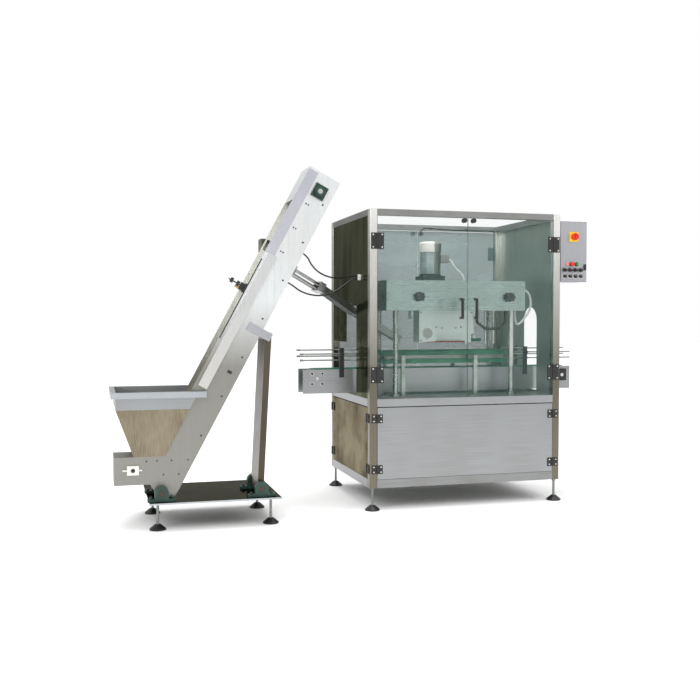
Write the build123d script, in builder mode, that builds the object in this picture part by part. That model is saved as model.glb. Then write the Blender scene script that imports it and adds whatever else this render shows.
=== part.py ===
"""Bottle capping machine: guarded cabinet with an in-line capping head, belt conveyor and cap elevator.

Frame: +X runs with the conveyor, +Y to the back of the cabinet, +Z up, floor at Z = 0, millimetres.
"""
import os
from math import atan2, cos, degrees, pi, radians, sin, tan

from build123d import *

os.makedirs("parts", exist_ok=True)

# ---------------------------------------------------------------- driving sizes
# Cabinet
cab_x = -10.0            # left face
cab_y = -380.0           # front face
cab_w = 1345.0
cab_d = 980.0
cab_base = 145.0         # underside of the frame above the floor
cab_top = 1940.0
tube = 50.0              # square post and rail width
tube_wall = 2.5
tube_round = 3.0
cap_t = 3.0              # plate closing each post
rail_top_h = 40.0
rail_mid_h = 50.0
rail_low_h = 55.0
deck_z = 720.0           # top of the machine deck
deck_t = 8.0
tray_t = 4.0
panel_t = 3.0
panel_inset = 2.0        # panels sit this far inside the outer faces
panel_lip = 18.0         # folded edge of the lower panels
gap = 2.0                # clearance round a leaf that opens
panel_gap_top = 6.0
glass_t = 8.0

# Hinges
hinge_r = 6.0            # barrel radius and leaf thickness
hinge_pin_r = 2.5
hinge_play = 0.05
hinge_axial = 0.3
door_hinge_w = 84.0
door_hinge_h = 104.0
door_hinge_low = 876.0   # height of the centre of the lower door hinges
door_hinge_high = 1735.0
panel_hinge_w = 72.0
panel_hinge_h = 56.0
panel_hinge_low = 266.0
panel_hinge_high = 594.0
screw_r = 4.5
screw_h = 1.0

# Door fittings
handle_off = 50.0        # from the meeting edges to each handle
handle_z = 1304.0
handle_len = 137.0
handle_w = 15.0
handle_reach = 42.0
catch_off = 32.0
catch_drop = 19.0        # below the top edge of the door
catch_r = 15.0
catch_reach = 30.0

# Levelling feet
pad_r = 48.0
pad_rim_h = 8.0
pad_h = 34.0
pad_neck_r = 14.0
stud_r = 8.0
nut_flats = 26.0
nut_h = 13.0

# Control box on the right side of the cabinet
box_w = 201.0
box_d = 220.0
box_z = 1487.0
box_h = 408.0
box_wall = 2.0
box_lip = 16.0           # depth of the recess that the box door fills
box_door_t = 12.0
box_door_gap = 3.0
box_pin = 6.0            # door pin from the door's edge and face
box_pin_r = 3.0
switch_plate = 66.0
switch_plate_t = 3.0
switch_z = 1792.0
switch_r = 23.0
switch_h = 26.0
button_z = 1607.0
lamp_x = 50.0            # control columns, from the left edge of the box
stop_x = 88.0
start_x = 124.0
stop_r = 15.0
button_r = 10.0
button_travel = 4.0
bezel_r = 14.0
bezel_h = 5.0
dial_x = 32.0
dial_pitch = 39.5
dial_count = 4
selector_z = 1568.0
knob_z = 1526.0
dial_r = 13.0
dial_plate_t = 1.0
dial_h = 16.0
dial_stem_r = 4.0
dial_sink = 3.0
grip_w = 7.0

# Conveyor
conv_y = 50.0            # centre of the lane
conv_w = 150.0           # over the side plates
conv_plate_t = 6.0
conv_x0 = -368.0
conv_x1 = 1606.0
conv_bottom = 736.0
conv_plate_top = 897.0
roller_r = 61.7
roller_z = 835.0
roller_left = 97.0       # roller axis from the left end of the plates
roller_right = 76.0
belt_play = 0.3
belt_t = 5.0
shaft_r = 12.0
bolt_pitch = 70.0
bolt_head_r = 7.5
bolt_head_h = 5.0
rod_r = 5.0
rod_lane = 100.0         # between the centres of facing guide rods
rod_low = 958.0
rod_high = 1000.0
rod_far_lift = 24.0      # the far rods run higher than the near ones
rod_stem_r = 8.0
rail_knob_r = 13.0
rail_knob_h = 16.0
rod_over = 14.0          # rods reach past the conveyor ends
rod_tip_r = 7.0
rod_tip = 22.0
rail_bracket_x = (-102.0, 1250.0)
rail_bracket_w = 30.0
rail_bracket_t = 12.0
rail_bracket_top = 1040.0
rail_bracket_low = 842.0

# Side openings of the cabinet
slot_front = 318.0       # from the front of the cabinet
slot_back = 922.0
slot_top = 1075.0
slot_bottom = 730.0
chute_slot_back = 572.0
chute_slot_top = 1325.0
arch_w = 200.0
arch_top = 1320.0

# Capping head
lead_run = 130.0         # motor lead, along the cover
lead_r = 5.0
line_inset = 20.0        # feed line, behind the front of the feed box
line_x0 = 826.0
line_run = 214.0
line_sag = 125.0
line_bend = 28.0
line_r = 9.0
loop_y = -115.0          # hose at the right end of the cover
loop_high = 150.0
loop_reach = 88.0
loop_sag = 62.0
loop_back = 30.0
loop_r = 8.0
head_x0 = 155.0
head_w = 1002.0
head_y0 = -215.0
head_depth = 430.0
head_z0 = 1292.0
head_h = 202.0
head_wall = 4.0
column_r = 18.0
sleeve_t = 3.0
sleeve_r = column_r + sleeve_t
sleeve_low = 915.0
column_x = (229.0, 1070.0)
column_front_gap = 13.0  # from the cover's walls to the columns
column_rear_gap = 3.0
column_y = (
    head_y0 + head_wall + column_front_gap + column_r,
    head_y0 + head_depth - head_wall - column_rear_gap - column_r,
)
column_top = 1385.0
column_play = 0.4
flange_r = 34.0
flange_h = 10.0
star_x = (383.0, 1036.0)
star_z = 1384.0
star_r = 33.0
star_lobes = 7
star_lobe_r = 8.0
star_h = 24.0
star_stem_r = 10.0
star_stem = 18.0
motor_x = 548.0
motor_y = 20.0
motor_r = 72.0
motor_fan_r = 77.0
motor_flange = 160.0
motor_flange_h = 52.0
motor_body_h = 150.0
motor_fan_h = 72.0
term_w = 62.0
term_h = 52.0
term_d = 78.0
feed_x0 = 400.0
feed_w = 392.0
feed_y0 = -172.0
feed_depth = 120.0
feed_h = 215.0
feed_notch_w = 270.0
feed_notch_h = 58.0
feed_disc_r = 35.0
spindle_x = 862.0
spindle_off = 62.0       # spindle axis from the lane centre
spindle_r = 11.0
disc_r = 52.0
disc_t = 20.0
disc_z = 1080.0
stay_x = (790.0, 940.0, 1000.0)
stay_r = 8.0

# Side grippers
grip_x0 = 178.0
grip_x1 = 1105.0
grip_face = 40.0         # gripping face from the lane centre
grip_pulley_r = 28.0
grip_belt_t = 5.0
grip_belt_h = 29.0
grip_low = 931.0
grip_gap = 29.0
grip_beam_h = 24.0
grip_beam_d = 40.0
slide_rod_r = 8.0
slide_play = 0.08
slide_x = (290.0, 812.0)
slide_post_w = 26.0
slide_post_y = 205.0     # support posts from the lane centre
slide_block_w = 44.0
slide_block_d = 44.0
slide_rod_end = 92.0

# Cap elevator
elev_y0 = -543.0         # outer face of the near side plate
elev_w = 240.0
elev_t = 3.0
elev_angle = 61.73
elev_top_x = -250.0      # upper end of the underside edge
elev_top_z = 2064.0
elev_len = 2073.0
elev_depth = 212.0
edge_strip_w = 64.0
edge_strip_t = 2.0
head_u = -111.0          # drum axis, along the slope from the upper end
head_v = 90.0
drum_r = 51.0
drum_belt_t = 4.0
cleat_h = 16.0
cleat_t = 5.0
cleat_pitch = 120.0
boot_x0 = -1607.0
boot_z0 = 268.0
boot_z1 = 432.0
tail_x = -1500.0
tail_z = 355.0
seal_strip_u0 = -590.0
seal_strip_u1 = -14.0
guard_u0 = -1484.0
guard_u1 = -590.0
guard_v0 = 134.0
guard_v1 = 192.0
guard_depth = 16.0
seal_u0 = -1180.0
seal_u1 = -640.0
seal_w = 6.0
takeup_w = 68.0
takeup_h = 54.0
takeup_t = 14.0
takeup_shaft_r = 12.0
sensor_u = -845.0
window_u = -520.0        # discharge window in the far side plate
window_v = 170.0
window_w = 74.0
window_h = 62.0
bearing_w = 84.0
bearing_h = 28.0
bearing_r = 27.0
bearing_shaft_r = 15.0

# Elevator stand
base_x0 = -1412.0
base_x1 = -635.0
base_y0 = -630.0
base_y1 = 20.0
base_z = 160.0
base_t = 10.0
base_feet_x = 52.0       # feet from the ends of the plate
base_feet_y = 85.0
pivot_x = (-1338.0, -748.0)
pivot_h = 50.0           # pivot axis above the base plate
pivot_r = 15.0
block_len = 165.0
block_w = 46.0
block_foot_h = 16.0
block_r = 40.0
block_gap = 4.0
post_w = 38.0
post_top_x = -698.0
post_top_z = 1134.0
post_over = 20.0
arm_u = -1035.0          # post bracket, along the slope
arm_w = 50.0
arm_reach = 65.0         # below the underside of the elevator
arm_hold = 92.0
arm_t = 6.0
arm_pin_r = 8.0

# Hopper
rim_x0 = -1623.0
rim_x1 = -1075.0
rim_y0 = -590.0
rim_y1 = -25.0
rim_z = 811.0
rim_h = 35.0
hopper_inset = 27.0      # walls inside the rim
hopper_break = 708.0     # height where the walls start to slope
hopper_t = 3.0
hopper_foot_x0 = -1496.0
hopper_foot_x1 = -1313.0
hopper_right = -1135.0   # right edge of the walls at the rim

# Cap chute, centre line
chute_start = (-636.0, -253.0, 1626.0)
chute_joint = (-262.0, -114.0, 1432.0)
chute_entry = (-10.0, 10.0, 1283.0)
chute_end = (328.0, 50.0, 1092.0)
chute_w = 62.0
chute_h = 44.0
chute_rod_r = 5.0
chute_t = 3.0
clamp_len = 46.0
clamp_over = 20.0        # clamps stand this much wider than the rods
spout_w = 104.0
spout_d = 96.0
hanger_t = 6.0

# Cables between the elevator and the cabinet
cable_d = 10.0
gland_y = -150.0
gland_z = 1511.0
gland_r = 20.0
gland_len = 10.0
nipple_r = 8.0
nipple_len = 8.0
nipple_off = 10.0
grommet_r = 9.0
grommet_len = 6.0
cable_upper_points = [
    (-26, -150, 1521), (-70, -152, 1519), (-135, -182, 1504), (-225, -242, 1500),
    (-320, -308, 1524), (-392, -372, 1573), (-430, -425, 1627), (-467.3, -425, 1647),
]
cable_lower_points = [
    (-26, -150, 1501), (-68, -152, 1494), (-125, -172, 1455), (-200, -208, 1410), (-292, -258, 1384),
    (-385, -312, 1388), (-465, -362, 1411), (-527, -425, 1447), (-564.2, -425, 1467),
]

# ---------------------------------------------------------------- derived places
cab_x1 = cab_x + cab_w
cab_y1 = cab_y + cab_d
seam_x = cab_x + cab_w / 2
open_z0 = deck_z + gap + 1
open_z1 = cab_top - rail_top_h - gap - 1
panel_z0 = cab_base + rail_low_h + gap
panel_z1 = deck_z - rail_mid_h - panel_gap_top
box_x = cab_x1
box_z1 = box_z + box_h
elev_y1 = elev_y0 + elev_w
elev_mid = (elev_y0 + elev_y1) / 2
slope = radians(elev_angle)
incline = Plane(origin=(elev_top_x, 0, elev_top_z), x_dir=(cos(slope), 0, sin(slope)), z_dir=(0, -1, 0))
upright = Plane(origin=(0, 0, 0), x_dir=(1, 0, 0), z_dir=(0, -1, 0))
roller_x = (conv_x0 + roller_left, conv_x1 - roller_right)
pivot_z = base_z + base_t + pivot_h
FRONT, BACK, LEFT, RIGHT = (0, -1, 0), (0, 1, 0), (-1, 0, 0), (1, 0, 0)


def along(u, v):
    """X and Z of a point given along the slope and square to it."""
    point = incline.from_local_coords(Vector(u, v, 0))
    return point.X, point.Z


# ---------------------------------------------------------------- helpers
def block(x0, x1, y0, y1, z0, z1, mode=Mode.ADD):
    """Add a block given by its faces to the open part."""
    with Locations(((x0 + x1) / 2, (y0 + y1) / 2, (z0 + z1) / 2)):
        Box(x1 - x0, y1 - y0, z1 - z0, mode=mode)


def rod(start, end, radius, mode=Mode.ADD):
    """Add a round bar between two points to the open part."""
    axis = Vector(*end) - Vector(*start)
    with Locations(Plane(origin=start, z_dir=axis.normalized())):
        Cylinder(radius, axis.length, align=(Align.CENTER, Align.CENTER, Align.MIN), mode=mode)


def save(builder, label):
    """Name a finished piece and write it."""
    builder.part.label = label
    export_step(builder.part, f"parts/{label}.step")


def hollow_bar(x0, x1, y0, y1, z0, z1, axis):
    """Add a rectangular tube that runs along one axis."""
    block(x0, x1, y0, y1, z0, z1)
    wx, wy, wz = (0 if axis == name else tube_wall for name in "XYZ")
    block(x0 + wx, x1 - wx, y0 + wy, y1 - wy, z0 + wz, z1 - wz, Mode.SUBTRACT)


def hinge_place(x, y, z, toward, outward):
    """Plane on a hinge axis: X to the moving leaf, Y into the cabinet."""
    inward = Vector(*outward) * -1
    return Plane(origin=(x, y, z), x_dir=toward, z_dir=Vector(*toward).cross(inward))


def hinge_fixed(place, width, height, pinned=True):
    """Add the post half of a hinge, with its pin."""
    with Locations(place):
        block(-width / 2, -hinge_r - 1, 0, hinge_r, -height / 2, height / 2)
        for side in (-1, 1):
            middle = side * (height / 3 + hinge_axial / 2)
            length = height / 3 - hinge_axial
            block(-hinge_r - 1, 0, 0, hinge_r, middle - length / 2, middle + length / 2)
            with Locations((0, 0, middle)):
                Cylinder(hinge_r, length)
            with Locations(Plane(origin=(-width / 2 + 12, 0, side * (height / 2 - 12)), z_dir=(0, -1, 0))):
                Cylinder(screw_r, screw_h, align=(Align.CENTER, Align.CENTER, Align.MIN))
        if pinned:
            Cylinder(hinge_pin_r, height)


def hinge_moving(place, width, height):
    """Add the door half of a hinge, bored for the pin."""
    knuckle = height / 3 - hinge_axial
    with Locations(place):
        block(hinge_r + 1, width / 2, 0, hinge_r, -height / 2, height / 2)
        block(0, hinge_r + 1, 0, hinge_r, -knuckle / 2, knuckle / 2)
        Cylinder(hinge_r, knuckle)
        Cylinder(hinge_pin_r + hinge_play, knuckle + 1, mode=Mode.SUBTRACT)
        for side in (-1, 1):
            with Locations(Plane(origin=(width / 2 - 12, 0, side * (height / 2 - 12)), z_dir=(0, -1, 0))):
                Cylinder(screw_r, screw_h, align=(Align.CENTER, Align.CENTER, Align.MIN))


def stadium(start, end, radius, mode=Mode.ADD):
    """Add a round-ended bar shape between two points to the open sketch."""
    run = Vector(*end) - Vector(*start)
    middle = (Vector(*start) + Vector(*end)) * 0.5
    with Locations((middle.X, middle.Y)):
        SlotCenterToCenter(run.length, 2 * radius, rotation=degrees(atan2(run.Y, run.X)), mode=mode)


def chute_plane(start, end):
    """Plane at the start of a chute length, Z along it and X level."""
    run = (Vector(*end) - Vector(*start)).normalized()
    level = Vector(0, 0, 1).cross(run).normalized()
    return Plane(origin=start, x_dir=level, z_dir=run)


def distance(start, end):
    """Length between two points."""
    return (Vector(*end) - Vector(*start)).length


def section(y):
    """Plane across the conveyor direction at a given Y, with Z as its upward axis."""
    return upright.offset(-y)


def slope_x(v, z):
    """X where the line at offset v from the elevator's underside reaches a height."""
    u = (z - elev_top_z - v * cos(slope)) / sin(slope)
    return along(u, v)[0]


# ---------------------------------------------------------------- cabinet
with BuildPart() as frame_posts:
    for post_x in (cab_x, cab_x1 - tube):
        for post_y in (cab_y, cab_y1 - tube):
            with BuildSketch(Plane.XY.offset(cab_base)):
                with Locations((post_x + tube / 2, post_y + tube / 2)):
                    RectangleRounded(tube, tube, tube_round)
            extrude(amount=cab_top - cab_base)
            inner = tube - 2 * tube_wall
            with BuildSketch(Plane.XY.offset(cab_base + cap_t)):
                with Locations((post_x + tube / 2, post_y + tube / 2)):
                    Rectangle(inner, inner)
            extrude(amount=cab_top - cab_base - cap_t, mode=Mode.SUBTRACT)
save(frame_posts, "frame_posts")

with BuildPart() as frame_rails:
    for low, height in (
        (cab_base, rail_low_h),
        (deck_z - rail_mid_h, rail_mid_h),
        (cab_top - rail_top_h, rail_top_h),
    ):
        for rail_y in (cab_y, cab_y1 - tube):
            hollow_bar(cab_x + tube, cab_x1 - tube, rail_y, rail_y + tube, low, low + height, "X")
        for rail_x in (cab_x, cab_x1 - tube):
            hollow_bar(rail_x, rail_x + tube, cab_y + tube, cab_y1 - tube, low, low + height, "Y")
save(frame_rails, "frame_rails")

with BuildPart() as deck_plates:
    for top, thick in ((deck_z, deck_t), (cab_base + rail_low_h, tray_t)):
        block(cab_x + tube, cab_x1 - tube, cab_y + tube, cab_y1 - tube, top - thick, top)
save(deck_plates, "deck_plates")

with BuildPart() as side_panel_left:
    outer = cab_x + panel_inset
    block(outer, outer + panel_t, cab_y + tube, cab_y1 - tube, deck_z, cab_top - rail_top_h)
    block(
        outer, outer + panel_t, cab_y + slot_front, cab_y + slot_back, slot_bottom, slot_top,
        Mode.SUBTRACT,
    )
    block(
        outer, outer + panel_t, cab_y + slot_front, cab_y + chute_slot_back, slot_top, chute_slot_top,
        Mode.SUBTRACT
    )
save(side_panel_left, "side_panel_left")

def pan(x0, x1, y0, y1, z0, z1, facing):
    """Add a sheet panel with folded edges, open on the side away from its face."""
    block(x0, x1, y0, y1, z0, z1)
    lead = Vector(*facing)
    trim = [panel_t if lead.X == 0 else 0, panel_t if lead.Y == 0 else 0]
    hollow_x0 = x0 + trim[0] + (panel_t if lead.X < 0 else 0)
    hollow_x1 = x1 - trim[0] - (panel_t if lead.X > 0 else 0)
    hollow_y0 = y0 + trim[1] + (panel_t if lead.Y < 0 else 0)
    hollow_y1 = y1 - trim[1] - (panel_t if lead.Y > 0 else 0)
    block(hollow_x0, hollow_x1, hollow_y0, hollow_y1, z0 + panel_t, z1 - panel_t, Mode.SUBTRACT)


door_hinges = [
    (cab_x + tube, cab_y - hinge_r, RIGHT, FRONT, "front_left"),
    (cab_x1 - tube, cab_y - hinge_r, LEFT, FRONT, "front_right"),
    (cab_x + tube, cab_y1 + hinge_r, RIGHT, BACK, "rear_left"),
    (cab_x1 - tube, cab_y1 + hinge_r, LEFT, BACK, "rear_right"),
]
panel_hinges = [
    (cab_x + tube, cab_y - hinge_r, RIGHT, FRONT, "front", True),
    (cab_x1 - tube, cab_y - hinge_r, LEFT, FRONT, "front", False),
    (cab_x - hinge_r, cab_y + tube, BACK, LEFT, "left", True),
    (cab_x - hinge_r, cab_y1 - tube, FRONT, LEFT, "left", False),
]

with BuildPart() as hinges_fixed:
    for x, y, toward, outward, name in door_hinges:
        for z in (door_hinge_low, door_hinge_high):
            hinge_fixed(hinge_place(x, y, z, toward, outward), door_hinge_w, door_hinge_h)
    for x, y, toward, outward, name, pinned in panel_hinges:
        for z in (panel_hinge_low, panel_hinge_high):
            hinge_fixed(hinge_place(x, y, z, toward, outward), panel_hinge_w, panel_hinge_h, pinned)
save(hinges_fixed, "hinges_fixed")

with BuildPart() as front_panel_lower:
    pan(
        cab_x + tube + gap, cab_x1 - tube - gap, cab_y, cab_y + panel_lip, panel_z0, panel_z1, FRONT,
    )
    for x, y, toward, outward, name, pinned in panel_hinges:
        if name == "front":
            for z in (panel_hinge_low, panel_hinge_high):
                hinge_moving(hinge_place(x, y, z, toward, outward), panel_hinge_w, panel_hinge_h)
save(front_panel_lower, "front_panel_lower")

with BuildPart() as left_panel_lower:
    pan(
        cab_x, cab_x + panel_lip, cab_y + tube + gap, cab_y1 - tube - gap, panel_z0, panel_z1, LEFT,
    )
    for x, y, toward, outward, name, pinned in panel_hinges:
        if name == "left":
            for z in (panel_hinge_low, panel_hinge_high):
                hinge_moving(hinge_place(x, y, z, toward, outward), panel_hinge_w, panel_hinge_h)
save(left_panel_lower, "left_panel_lower")

with BuildPart() as fixed_panels:
    outer = cab_x1 - panel_inset
    low, high = cab_base + rail_low_h, deck_z - rail_mid_h
    arch_z = arch_top - arch_w / 2
    block(outer - panel_t, outer, cab_y + tube, cab_y1 - tube, deck_z, cab_top - rail_top_h)
    block(
        outer - panel_t, outer, conv_y - arch_w / 2, conv_y + arch_w / 2, slot_bottom, arch_z,
        Mode.SUBTRACT,
    )
    rod((outer - panel_t, conv_y, arch_z), (outer, conv_y, arch_z), arch_w / 2, Mode.SUBTRACT)
    pan(outer - panel_lip, outer, cab_y + tube, cab_y1 - tube, low, high, RIGHT)
    pan(
        cab_x + tube, cab_x1 - tube, cab_y1 - panel_inset - panel_lip, cab_y1 - panel_inset, low, high,
        BACK,
    )
save(fixed_panels, "fixed_panels")


def pull_handle(x, face_y, lead):
    """Add a bridge handle that stands off a door."""
    edge = face_y + lead * handle_reach
    half = handle_len / 2
    with BuildSketch(Plane.YZ.offset(x - handle_w / 2)) as bridge:
        with Locations(((face_y + edge) / 2, handle_z)):
            RectangleRounded(handle_reach, handle_len, handle_w * 0.6)
        with Locations((face_y + lead * (handle_reach - handle_w) / 2, handle_z)):
            Rectangle(handle_reach - handle_w, handle_len - 2 * handle_w, mode=Mode.SUBTRACT)
        corner = handle_w * 0.6
        with Locations((face_y + lead * corner / 2, handle_z - half + handle_w / 2)):
            Rectangle(corner, handle_w)
        with Locations((face_y + lead * corner / 2, handle_z + half - handle_w / 2)):
            Rectangle(corner, handle_w)
    extrude(to_extrude=bridge.sketch, amount=handle_w)


def door_fittings(x, y, toward, outward):
    """Add the hinge leaves, handle and catch of one glass door."""
    side, lead = toward[0], outward[1]
    face_y = y - lead * hinge_r
    for z in (door_hinge_low, door_hinge_high):
        hinge_moving(hinge_place(x, y, z, toward, outward), door_hinge_w, door_hinge_h)
    pull_handle(seam_x - side * handle_off, face_y, lead)
    catch_x, catch_z = seam_x - side * catch_off, open_z1 - catch_drop
    rod((catch_x, face_y, catch_z), (catch_x, face_y + lead * catch_reach, catch_z), catch_r)


def door_pane(x, y, toward, outward):
    """Add the glass of one door."""
    side, lead = toward[0], outward[1]
    face_y = y - lead * hinge_r
    pane_x = sorted((x + side * gap, seam_x - side * gap))
    block(*pane_x, *sorted((face_y, face_y - lead * glass_t)), open_z0, open_z1)


for x, y, toward, outward, name in door_hinges:
    if name.startswith("front"):
        with BuildPart() as door_glass:
            door_pane(x, y, toward, outward)
        save(door_glass, f"{name}_door_glass")
        with BuildPart() as door_hardware:
            door_fittings(x, y, toward, outward)
        save(door_hardware, f"{name}_door_fittings")
    else:
        with BuildPart() as door:
            door_pane(x, y, toward, outward)
            door_fittings(x, y, toward, outward)
        save(door, f"{name}_door")

# ---------------------------------------------------------------- feet
feet = [
    (x, y, cab_base)
    for x in (cab_x + tube / 2, cab_x1 - tube / 2)
    for y in (cab_y + tube / 2, cab_y1 - tube / 2)
]
feet += [
    (x, y, base_z)
    for x in (base_x0 + base_feet_x, base_x1 - base_feet_x)
    for y in (base_y0 + base_feet_y, base_y1 - base_feet_y)
]

with BuildPart() as foot_pads:
    with BuildSketch(Plane.XZ) as pad_profile:
        with BuildLine():
            Polyline((0, 0), (pad_r, 0), (pad_r, pad_rim_h))
            shoulder = Line((pad_r, pad_rim_h), (pad_neck_r + 6, pad_h - 3))
            ThreePointArc(shoulder @ 1, (pad_neck_r + 4, pad_h - 1), (pad_neck_r, pad_h))
            Polyline((pad_neck_r, pad_h), (0, pad_h), (0, 0))
        make_face()
    with Locations([(x, y, 0) for x, y, top in feet]):
        add(revolve(pad_profile.sketch, Axis.Z, mode=Mode.PRIVATE))
save(foot_pads, "foot_pads")

with BuildPart() as foot_studs:
    for x, y, top in feet:
        rod((x, y, pad_h), (x, y, top), stud_r)
        with BuildSketch(Plane.XY.offset(top - nut_h)):
            with Locations((x, y)):
                RegularPolygon(nut_flats / 2, 6, major_radius=False)
        extrude(amount=nut_h)
save(foot_studs, "foot_studs")

# ---------------------------------------------------------------- control box
box_front = cab_y
with BuildPart() as control_box_shell:
    block(box_x, box_x + box_w, box_front, box_front + box_d, box_z, box_z1)
    rear = box_front + box_d - box_wall
    block(
        box_x + box_wall, box_x + box_w - box_wall, box_front, rear, box_z + box_wall,
        box_z1 - box_wall, Mode.SUBTRACT
    )
    block(
        box_x, box_x + box_w, box_front, box_front + box_lip, box_z + box_wall, box_z1 - box_wall,
        Mode.SUBTRACT,
    )
    pin_x, pin_y = box_x + box_door_gap + box_pin, box_front + box_pin
    for z in (box_z, box_z1 - box_wall):
        rod((pin_x, pin_y, z), (pin_x, pin_y, z + box_wall), box_pin_r + hinge_play, Mode.SUBTRACT)
save(control_box_shell, "control_box_shell")

dials = [
    (f"{kind}_{number + 1}", box_x + dial_x + number * dial_pitch, z)
    for kind, z in (("selector", selector_z), ("speed_knob", knob_z))
    for number in range(dial_count)
]
buttons = [
    ("emergency_stop", box_x + stop_x, stop_r),
    ("start_button", box_x + start_x, button_r),
]
switch_x = box_x + box_w / 2

with BuildPart() as control_box_door:
    door_z0, door_z1 = box_z + box_wall + 1, box_z1 - box_wall - 1
    block(
        box_x + box_door_gap, box_x + box_w - box_door_gap, box_front, box_front + box_door_t, door_z0,
        door_z1
    )
    for z in (box_z, door_z1):
        rod((pin_x, pin_y, z), (pin_x, pin_y, z + box_wall + 1), box_pin_r)
    half = switch_plate / 2
    block(
        switch_x - half, switch_x + half, box_front - switch_plate_t, box_front, switch_z - half,
        switch_z + half
    )
    for name, x, radius in buttons:
        rod((x, box_front, button_z), (x, box_front - bezel_h, button_z), bezel_r)
    lamp = box_x + lamp_x
    rod((lamp, box_front, button_z), (lamp, box_front - bezel_h - 3, button_z), button_r)
    for name, x, z in dials:
        if name.startswith("speed"):
            rod((x, box_front, z), (x, box_front - dial_plate_t, z), dial_r + 4)
    latch_x = box_x + box_w - box_door_gap - 14
    block(latch_x - 7, latch_x + 7, box_front - 9, box_front, button_z - 40, button_z)
    for name, x, z in dials:
        start = (x, box_front - dial_plate_t, z)
        rod(start, (x, box_front + dial_sink + 1, z), dial_stem_r + hinge_play, Mode.SUBTRACT)
    rod(
        (switch_x, box_front - switch_plate_t, switch_z), (switch_x, box_front + dial_sink + 1, switch_z),
        dial_stem_r + hinge_play, Mode.SUBTRACT,
    )
    for name, x, radius in buttons:
        rod(
            (x, box_front - bezel_h, button_z), (x, box_front + button_travel + dial_sink + 1, button_z),
            dial_stem_r + hinge_play, Mode.SUBTRACT,
        )
save(control_box_door, "control_box_door")


def dial(x, z, face_y, radius, height):
    """Add a turning knob with a grip ridge and a stem into the panel."""
    front = face_y - hinge_axial - height
    rod((x, face_y - hinge_axial, z), (x, front, z), radius)
    block(x - grip_w / 2, x + grip_w / 2, front - height / 3, front, z - radius * 0.9, z + radius * 0.9)
    rod((x, box_front + dial_sink, z), (x, face_y - hinge_axial, z), dial_stem_r)


for name, x, z in dials:
    plate = dial_plate_t if name.startswith("speed") else 0
    with BuildPart() as turning_dial:
        dial(x, z, box_front - plate, dial_r, dial_h * (0.6 if plate else 1))
    save(turning_dial, name)

with BuildPart() as main_switch:
    dial(switch_x, switch_z, box_front - switch_plate_t, switch_r, switch_h)
save(main_switch, "main_switch")

for name, x, radius in buttons:
    with BuildPart() as push_button:
        seat = box_front - bezel_h
        neck = seat - button_travel - hinge_axial
        rod((x, box_front + dial_sink, button_z), (x, neck, button_z), dial_stem_r)
        rod((x, neck, button_z), (x, neck - radius * 0.7, button_z), radius)
        fillet(push_button.faces().sort_by(Axis.Y)[0].edges(), radius * 0.3)
    save(push_button, name)

# ---------------------------------------------------------------- capping head
housing_x1 = head_x0 + head_w
housing_y1 = head_y0 + head_depth
housing_z1 = head_z0 + head_h
sleeve_at = (column_x[1], column_y[0])
stay_spots = [(x, conv_y - 90) for x in stay_x]
spindle_spots = [("spindle_front", conv_y - spindle_off), ("spindle_rear", conv_y + spindle_off)]

with BuildPart() as deck_columns:
    for x in column_x:
        for y in column_y:
            rod((x, y, deck_z), (x, y, column_top), column_r)
            rod((x, y, deck_z), (x, y, deck_z + flange_h), flange_r)
    for x in slide_x:
        for side in (-1, 1):
            y = conv_y + side * slide_post_y
            half = slide_post_w / 2
            beam_z = grip_low + grip_belt_h + grip_gap / 2
            block(x - half, x + half, y - half, y + half, deck_z, beam_z + half)
            rod((x, y, beam_z), (x, conv_y + side * slide_rod_end, beam_z), slide_rod_r)
save(deck_columns, "deck_columns")

with BuildPart() as head_housing:
    block(head_x0, housing_x1, head_y0, housing_y1, head_z0, housing_z1)
    wall = head_wall
    block(
        head_x0 + wall, housing_x1 - wall, head_y0 + wall, housing_y1 - wall, head_z0 + wall,
        housing_z1 - wall,
        Mode.SUBTRACT,
    )
    rod((*sleeve_at, sleeve_low), (*sleeve_at, head_z0), sleeve_r)
    for x in column_x:
        for y in column_y:
            play = slide_play if (x, y) == sleeve_at else column_play
            rod((x, y, sleeve_low - 1), (x, y, head_z0 + wall), column_r + play, Mode.SUBTRACT)
    for name, y in spindle_spots:
        rod((spindle_x, y, head_z0), (spindle_x, y, head_z0 + wall), spindle_r + hinge_play, Mode.SUBTRACT)
    for x in star_x:
        rod((x, head_y0, star_z), (x, head_y0 + wall, star_z), star_stem_r / 2 + hinge_play, Mode.SUBTRACT)
save(head_housing, "head_housing")

for name, x in zip(("lock_knob_left", "lock_knob_right"), star_x):
    with BuildPart() as lock_knob:
        seat = head_y0 - hinge_axial
        neck = seat - star_stem
        rod((x, head_y0 + wall, star_z), (x, seat, star_z), star_stem_r / 2)
        rod((x, seat, star_z), (x, neck, star_z), star_stem_r)
        with BuildSketch(section(neck)):
            with Locations((x, star_z)):
                Circle(star_r - star_lobe_r)
                with PolarLocations(star_r - star_lobe_r, star_lobes):
                    Circle(star_lobe_r)
        extrude(amount=star_h)
        chamfer(lock_knob.faces().sort_by(Axis.Y)[0].edges(), 2)
    save(lock_knob, name)

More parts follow.
